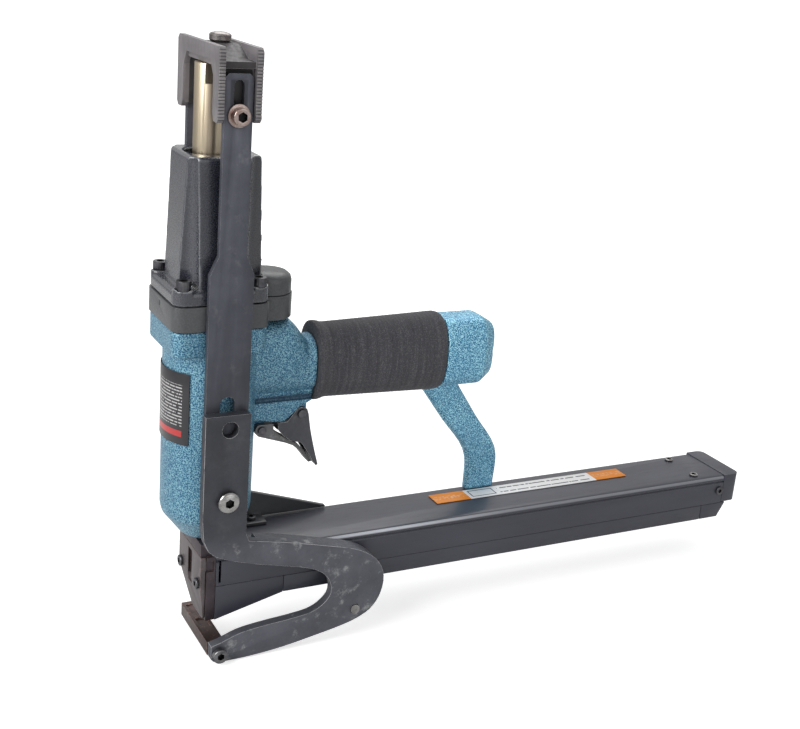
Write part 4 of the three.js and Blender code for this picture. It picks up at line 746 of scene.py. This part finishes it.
# The handle's end and the strut take the lighter copy of the enamel: a painted highlight.
dress_casting("handle_end", 0.9 * MM, 4, lit_enamel)
dress_casting("handle_strut", 0.7 * MM, 3, lit_enamel)
dress_casting("tower", 0.62 * MM, 6, tower_enamel)
dress("cap_base_plate", 0.7 * MM, base_enamel, segments=3)
dress("exhaust_cover", 0.7 * MM, cap_enamel, segments=3)
print("castings dressed")

# %% Sheet and steel
# The channel's bevelled edges take the paler copy: a painted highlight.
dress("magazine_channel", 0.45 * MM, slate_channel, slate_edge_highlight, 3)
for node in ("magazine_shoe", "magazine_drawer", "drawer_block", "magazine_end_cap"):
    dress(node, 0.45 * MM, slate_paint, segments=3)
dress("magazine_bracket", 0.35 * MM, cap_enamel)
for node in ("near_strap", "far_strap"):
    dress(node, 0.5 * MM, strap_steel, strap_edge)
dress("hook_arm", 0.6 * MM, hook_steel, strap_edge)
dress("yoke", 0.28 * MM, yoke_steel, yoke_edge)
dress("nose_block", 0.3 * MM, nose_steel, nose_edge)
dress("nose_front_plate", 0.3 * MM, plate_steel, nose_edge)
dress("anvil", 0.35 * MM, anvil_steel, nose_edge)
dress("trigger", 0.35 * MM, lever_steel, strap_edge)
dress("clamp_lever", 0.35 * MM, pressed_steel, strap_edge)
print("sheet and steel dressed")

# %% Rods, pins and small parts
dress("clamp_rod", 0.5 * MM, plated_gold)
for node in ("near_washer", "far_washer"):
    dress(node, 0.3 * MM, bronzed_screw)
dress("hook_pin", 0.35 * MM, bright_screw)
for node in ("trigger_pin", "lever_pin"):
    dress(node, 0.25 * MM, dark_screw)
for node in ("driver_blade", "driver_piston", "cylinder_liner", "clamp_piston",
             "staple_rail", "staple_stick", "pusher", "valve_bushing"):
    dress(node, 0.2 * MM, ground_steel)
dress("air_inlet", 0.3 * MM, turned_brass)
dress("bumper", 0.5 * MM, bumper_amber)
dress("body_label", 0.1 * MM, barrel_print)
dress("magazine_label", 0.1 * MM, magazine_print)
print("small parts dressed")


# %% [markdown]
# ## Surfaces from a grid
# New pieces are surfaces with two parameters. Rows run around the piece and columns along it;
# the faces join each point to its neighbours, and the last row joins the first. Everything is
# worked out as whole arrays.

# %% Grid surface
def grid_piece(name, points, finish, body, replaced):
    """points[i, j] is the place of row i around and column j along; rows close on themselves."""
    rows, columns = points.shape[:2]
    i, j = np.meshgrid(np.arange(rows), np.arange(columns - 1), indexing="ij")
    next_row = (i + 1) % rows
    faces = np.stack((i * columns + j, next_row * columns + j, next_row * columns + j + 1,
                      i * columns + j + 1), axis=-1).reshape(-1, 4)
    mesh = bpy.data.meshes.new(name)
    mesh.from_pydata(points.reshape(-1, 3).tolist(), [], faces.tolist())
    mesh.materials.append(finish)
    mesh.shade_smooth()
    mesh.update()
    piece = bpy.data.objects.new(name, mesh)
    bpy.context.scene.collection.objects.link(piece)
    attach(piece, body)
    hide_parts(*replaced)
    return piece


print("grid surface ready")


# %% [markdown]
# ## The foam grip
# The sleeve is an oval tube, a little fuller at its rear, with a thick lip where it meets the
# casting and a rounded rear edge. Its section is a superellipse: the cosine and sine, each
# raised to a power under 1, which squares the oval slightly. One profile walks from the bore
# over the front lip, along the sleeve and back into the bore, and each of its points is one
# section around the handle. Shallow ripples follow X, as the foam really has.

# %% Foam grip
GRIP_FRONT, GRIP_REAR, GRIP_AXIS_Z = 62.6 * MM, 148.5 * MM, 172.3 * MM
GRIP_HALF = np.array((16.0, 22.8)) * MM
GRIP_SWELL = np.array((1.4, 2.2)) * MM
CORE_HALF = np.array((11.3, 14.8)) * MM
GRIP_POWER = 0.86
LIP_RISE, LIP_LENGTH, LIP_FADE = 1.35 * MM, 5.2 * MM, 0.9 * MM
FRONT_LENGTH, FRONT_DEPTH = 1.2 * MM, 1.0 * MM
REAR_LENGTH, REAR_DEPTH = 4 * MM, 1.1 * MM
RIPPLE_HALF, RIPPLE_PITCH = 0.04 * MM, 2.6 * MM
AROUND, ALONG, END_STEPS = 160, 220, 6


def oval_rings(stations, half_y, half_z, power):
    """Ring k lies at X = stations[k]; y and z are half widths times powered cosine, sine."""
    angle = np.linspace(0.0, 2 * np.pi, AROUND, endpoint=False)[:, None]
    across = np.sign(np.cos(angle)) * np.abs(np.cos(angle)) ** power
    upward = np.sign(np.sin(angle)) * np.abs(np.sin(angle)) ** power
    x = np.broadcast_to(stations, (AROUND, len(stations)))
    return np.stack((x, across * half_y, GRIP_AXIS_Z + upward * half_z), axis=-1)


def rounding(share, depth):
    """A quarter ellipse: nothing where share is 0 or less, the full depth where it is 1."""
    return depth * (1 - np.sqrt(np.clip(1 - np.clip(share, 0, 1) ** 2, 0, 1)))


def make_grip():
    """The outer half width is base + swell + lip - tuck - ripple; both ends turn inwards."""
    along = np.linspace(0.0, 1.0, ALONG)
    x = GRIP_FRONT + (GRIP_REAR - GRIP_FRONT) * along
    swell = np.clip(along / 0.95, 0, 1) ** 1.1
    lip = LIP_RISE / (1 + np.exp((x - GRIP_FRONT - LIP_LENGTH) / LIP_FADE))
    tuck = (rounding((x - (GRIP_REAR - REAR_LENGTH)) / REAR_LENGTH, REAR_DEPTH)
            + rounding((GRIP_FRONT + FRONT_LENGTH - x) / FRONT_LENGTH, FRONT_DEPTH))
    ripple = RIPPLE_HALF * (1 - np.cos(2 * np.pi * x / RIPPLE_PITCH))
    half = GRIP_HALF[:, None] + GRIP_SWELL[:, None] * swell + lip - tuck - ripple
    ends = np.linspace(0, 1, END_STEPS + 1)[:-1]
    front_y, front_z = (CORE_HALF[k] + (half[k, 0] - CORE_HALF[k]) * ends for k in (0, 1))
    rear_y, rear_z = (half[k, -1] + (CORE_HALF[k] - half[k, -1]) * ends for k in (0, 1))
    stations = np.concatenate((np.full(END_STEPS, GRIP_FRONT), x,
                               np.full(END_STEPS + 1, GRIP_REAR), [GRIP_FRONT]))
    half_y = np.concatenate((front_y, half[0], rear_y, CORE_HALF[:1], CORE_HALF[:1]))
    half_z = np.concatenate((front_z, half[1], rear_z, CORE_HALF[1:], CORE_HALF[1:]))
    power = np.where(half_y < 1.15 * CORE_HALF[0], 1.0, GRIP_POWER)
    rings = oval_rings(stations, half_y, half_z, power)
    return grid_piece("foam_grip", rings, grip_foam, "housing",
                      ("grip_sleeve",))


grip = make_grip()
print("grip sleeve:", len(grip.data.polygons), "faces")


# %% [markdown]
# ## Socket screws
# The heads are what the eye finds first, so they are surfaces of their own: a hexagonal socket
# with real depth, a rounded rim, a knurled side on the cap screws and a low dome on the big
# hook screw. One profile walks from the end of the shank over the head and down into the
# socket, and is turned around the axis; only the socket's radius changes with the angle, and
# the knurled side's.

# %% Socket screws
SHANK_SHARE, LEAD, TAPER = 0.5, 1.08, 0.97
SIDE_SHARE, KNURL_DEPTH = 0.985, 0.035
CLEARANCE = 0.01 * MM


def profile_of(radius, height, length, socket, depth, rim, dome):
    """Columns of distance below the top, radius, and how much hexagon and knurl each takes.

    The top sinks from the middle by dome times the squared share of the radius.
    """
    turn = np.linspace(0, np.pi / 2, 5)
    across = np.linspace(socket * LEAD, radius - rim, 6)
    sink = dome * (across / radius) ** 2
    shank = SHANK_SHARE * radius
    low = [length, length, height, height, height - 0.5 * rim]
    out = [0.0, shank, shank, radius - 0.5 * rim, radius]
    edge = sink[-1] + rim * (1 - np.cos(turn))
    edge_out = radius - rim + rim * np.sin(turn)
    inner = [sink[0] + 0.1 * rim, depth, depth]
    inner_out = [socket, socket * TAPER, 0.0]
    below = np.concatenate((low, edge[::-1], sink[::-1][1:], inner))
    radii = np.concatenate((out, edge_out[::-1], across[::-1][1:], inner_out))
    hexed = np.concatenate((np.zeros(len(below) - 3), [1.0, 1.0, 0.0]))
    knurled = ((radii > SIDE_SHARE * radius) & (below > edge[-1] - 1e-9)).astype(float)
    return below, radii, hexed, knurled


def socket_screw(node, finish, way, height, socket, depth, rim, dome=0.0, ridges=0):
    """Point = middle + (top - below) * way + radius(angle) * (cosine * side + sine * other).

    socket and rim are shares of the head's radius, depth a share of its height.
    """
    low, high = (np.array(corner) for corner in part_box(node))
    axis = np.array(way, float)
    index = int(np.abs(axis).argmax())
    middle = (low + high) / 2
    top = high[index] if axis[index] > 0 else low[index]
    length = high[index] - low[index]
    radius = min(np.delete(high - low, index)) / 2 - CLEARANCE
    below, radii, hexed, knurled = profile_of(radius, height, length, socket * radius,
                                              depth * height, rim * radius, dome)
    around = 4 * ridges if ridges else 72
    angle = np.linspace(0, 2 * np.pi, around, endpoint=False)[:, None]
    hexagon = np.cos(np.pi / 6) / np.cos((angle % (np.pi / 3)) - np.pi / 6)
    r = radii * (1 + hexed * (hexagon - 1))
    r = r * (1 - KNURL_DEPTH * knurled * (0.5 + 0.5 * np.cos(ridges * angle)))
    side = np.roll(np.abs(axis), 1)
    other = np.cross(axis, side)
    centre = middle + (top - middle[index]) * np.abs(axis)
    points = (centre - below[None, :, None] * axis
              + (r * np.cos(angle))[..., None] * side + (r * np.sin(angle))[..., None] * other)
    body = next(name for name, empty in frame["bodies"].items()
                if empty == frame["nodes"][node].parent)
    piece = grid_piece(node + "_turned", points, finish, body, (node,))
    # The socket's faces take the near-black finish: painted shade inside the hole.
    piece.data.materials.append(socket_painted_shade)
    strips = np.arange(points.shape[1] - 1)
    in_socket = np.tile(strips >= len(strips) - 2, around).astype(np.int32)
    piece.data.polygons.foreach_set("material_index", in_socket)
    shade(piece)


# Each call: node, finish, the way the head faces, its height, socket, depth, rim and dome.
NEAR, FAR, UP, AHEAD = (0, -1, 0), (0, 1, 0), (0, 0, 1), (-1, 0, 0)
for number in range(1, 5):
    socket_screw(f"cap_screw_{number}", dark_screw, UP, 5.6 * MM, 0.56, 0.6, 0.1, ridges=30)
for node, way in (("near_clamp_screw", NEAR), ("far_clamp_screw", FAR)):
    socket_screw(node, bronzed_screw, way, 5.0 * MM, 0.6, 0.6, 0.14)
socket_screw("hook_screw", bright_screw, NEAR, 4.0 * MM, 0.44, 0.75, 0.28, 1.5 * MM)
socket_screw("anvil_bolt", oiled_screw, NEAR, 4.0 * MM, 0.5, 0.7, 0.2)
socket_screw("guide_screw", dark_screw, FAR, 3.0 * MM, 0.42, 0.7, 0.25, 0.8 * MM)
socket_screw("yoke_screw", screw_steel, UP, 5.2 * MM, 0.4, 0.5, 0.3, 1.5 * MM)
for number in (1, 2):
    socket_screw(f"nose_screw_{number}", dark_screw, AHEAD, 1.8 * MM, 0.5, 0.8, 0.2, 0.3 * MM)
    socket_screw(f"magazine_screw_{number}", bright_screw, UP, 1.2 * MM, 0.55, 0.8, 0.2)
socket_screw("magazine_side_screw", dark_screw, NEAR, 1.2 * MM, 0.5, 0.8, 0.2)
socket_screw("bracket_screw", dark_screw, UP, 1.9 * MM, 0.5, 0.7, 0.2)


# %% [markdown]
# ## Light and floor
# A big soft lamp stands to the front left, where the picture's light comes from, a weaker one
# fills the near side, a third lights the top from the rear, and the world adds an even level
# from all sides. The backdrop is white to the camera only, through Light Path, and greyer in
# reflections. The floor is pale and keeps the shadow.

# %% Studio
def soft_lamp(name, place, target, size, watts):
    """An area lamp at place, turned so that its -Z axis points at target."""
    lamp = bpy.data.lights.new(name, "AREA")
    lamp.shape, lamp.size, lamp.energy = "SQUARE", size, watts
    holder = bpy.data.objects.new(name, lamp)
    place, target = Vector(place), Vector(target)
    turn = (place - target).to_track_quat("Z", "Y").to_matrix().to_4x4()
    holder.matrix_world = Matrix.Translation(place) @ turn
    bpy.context.scene.collection.objects.link(holder)


def plain_world(level, seen, mirrored):
    """Strength by kind of ray: level on surfaces, seen by the camera, mirrored in gloss."""
    world = bpy.data.worlds.new("plain_studio")
    world.use_nodes = True
    nodes, links = world.node_tree.nodes, world.node_tree.links
    background = nodes["Background"]
    background.inputs["Color"].default_value = (1.0, 1.0, 1.0, 1.0)
    ray = nodes.new("ShaderNodeLightPath")
    value = level
    for output, strength in (("Is Transmission Ray", seen), ("Is Glossy Ray", mirrored),
                             ("Is Camera Ray", seen)):
        pick = nodes.new("ShaderNodeMix")
        links.new(ray.outputs[output], pick.inputs[0])
        if isinstance(value, float):
            pick.inputs[2].default_value = value
        else:
            links.new(value, pick.inputs[2])
        pick.inputs[3].default_value = strength
        value = pick.outputs[0]
    links.new(value, background.inputs["Strength"])
    bpy.context.scene.world = world


def pale_floor(size, height):
    """A square floor; camera rays add a little light, so that it reads as white paper."""
    mesh = bpy.data.meshes.new("floor")
    corners = [(-size, -size, height), (size, -size, height), (size, size, height),
               (-size, size, height)]
    mesh.from_pydata(corners, [], [(0, 1, 2, 3)])
    floor = bpy.data.objects.new("floor", mesh)
    bpy.context.scene.collection.objects.link(floor)
    paper = Finish("floor_paper", Roughness=0.9, Specular_IOR_Level=0.1)
    grain = paper.noise(30.0, 2.0)
    paper.feed("Base Color", paper.blend(grain, (0.80, 0.80, 0.80), (0.83, 0.83, 0.83)))
    paper.feed("Emission Color", (1.0, 1.0, 1.0))
    seen = paper.add("ShaderNodeLightPath").outputs["Is Camera Ray"]
    away = paper.add("ShaderNodeVectorMath", operation="LENGTH")
    paper.join(paper.place, away.inputs[0])
    glow = paper.levels(away.outputs["Value"], 0.35, 1.1, 0.66, 1.0)
    paper.feed("Emission Strength", paper.times(seen, glow))
    mesh.materials.append(paper.material)


MIDDLE = (0.12, 0.0, 0.16)
soft_lamp("key_front_left", (-1.15, -0.35, 0.95), MIDDLE, 0.9, 17.0)
soft_lamp("fill_near", (0.45, -1.5, 0.7), MIDDLE, 1.2, 3.0)
soft_lamp("top_rear", (0.5, 0.7, 1.3), MIDDLE, 1.0, 7.5)
plain_world(0.30, 1.0, 0.6)
pale_floor(30.0, -0.6 * MM)
bpy.context.scene.view_settings.view_transform = "Standard"
print("studio set")
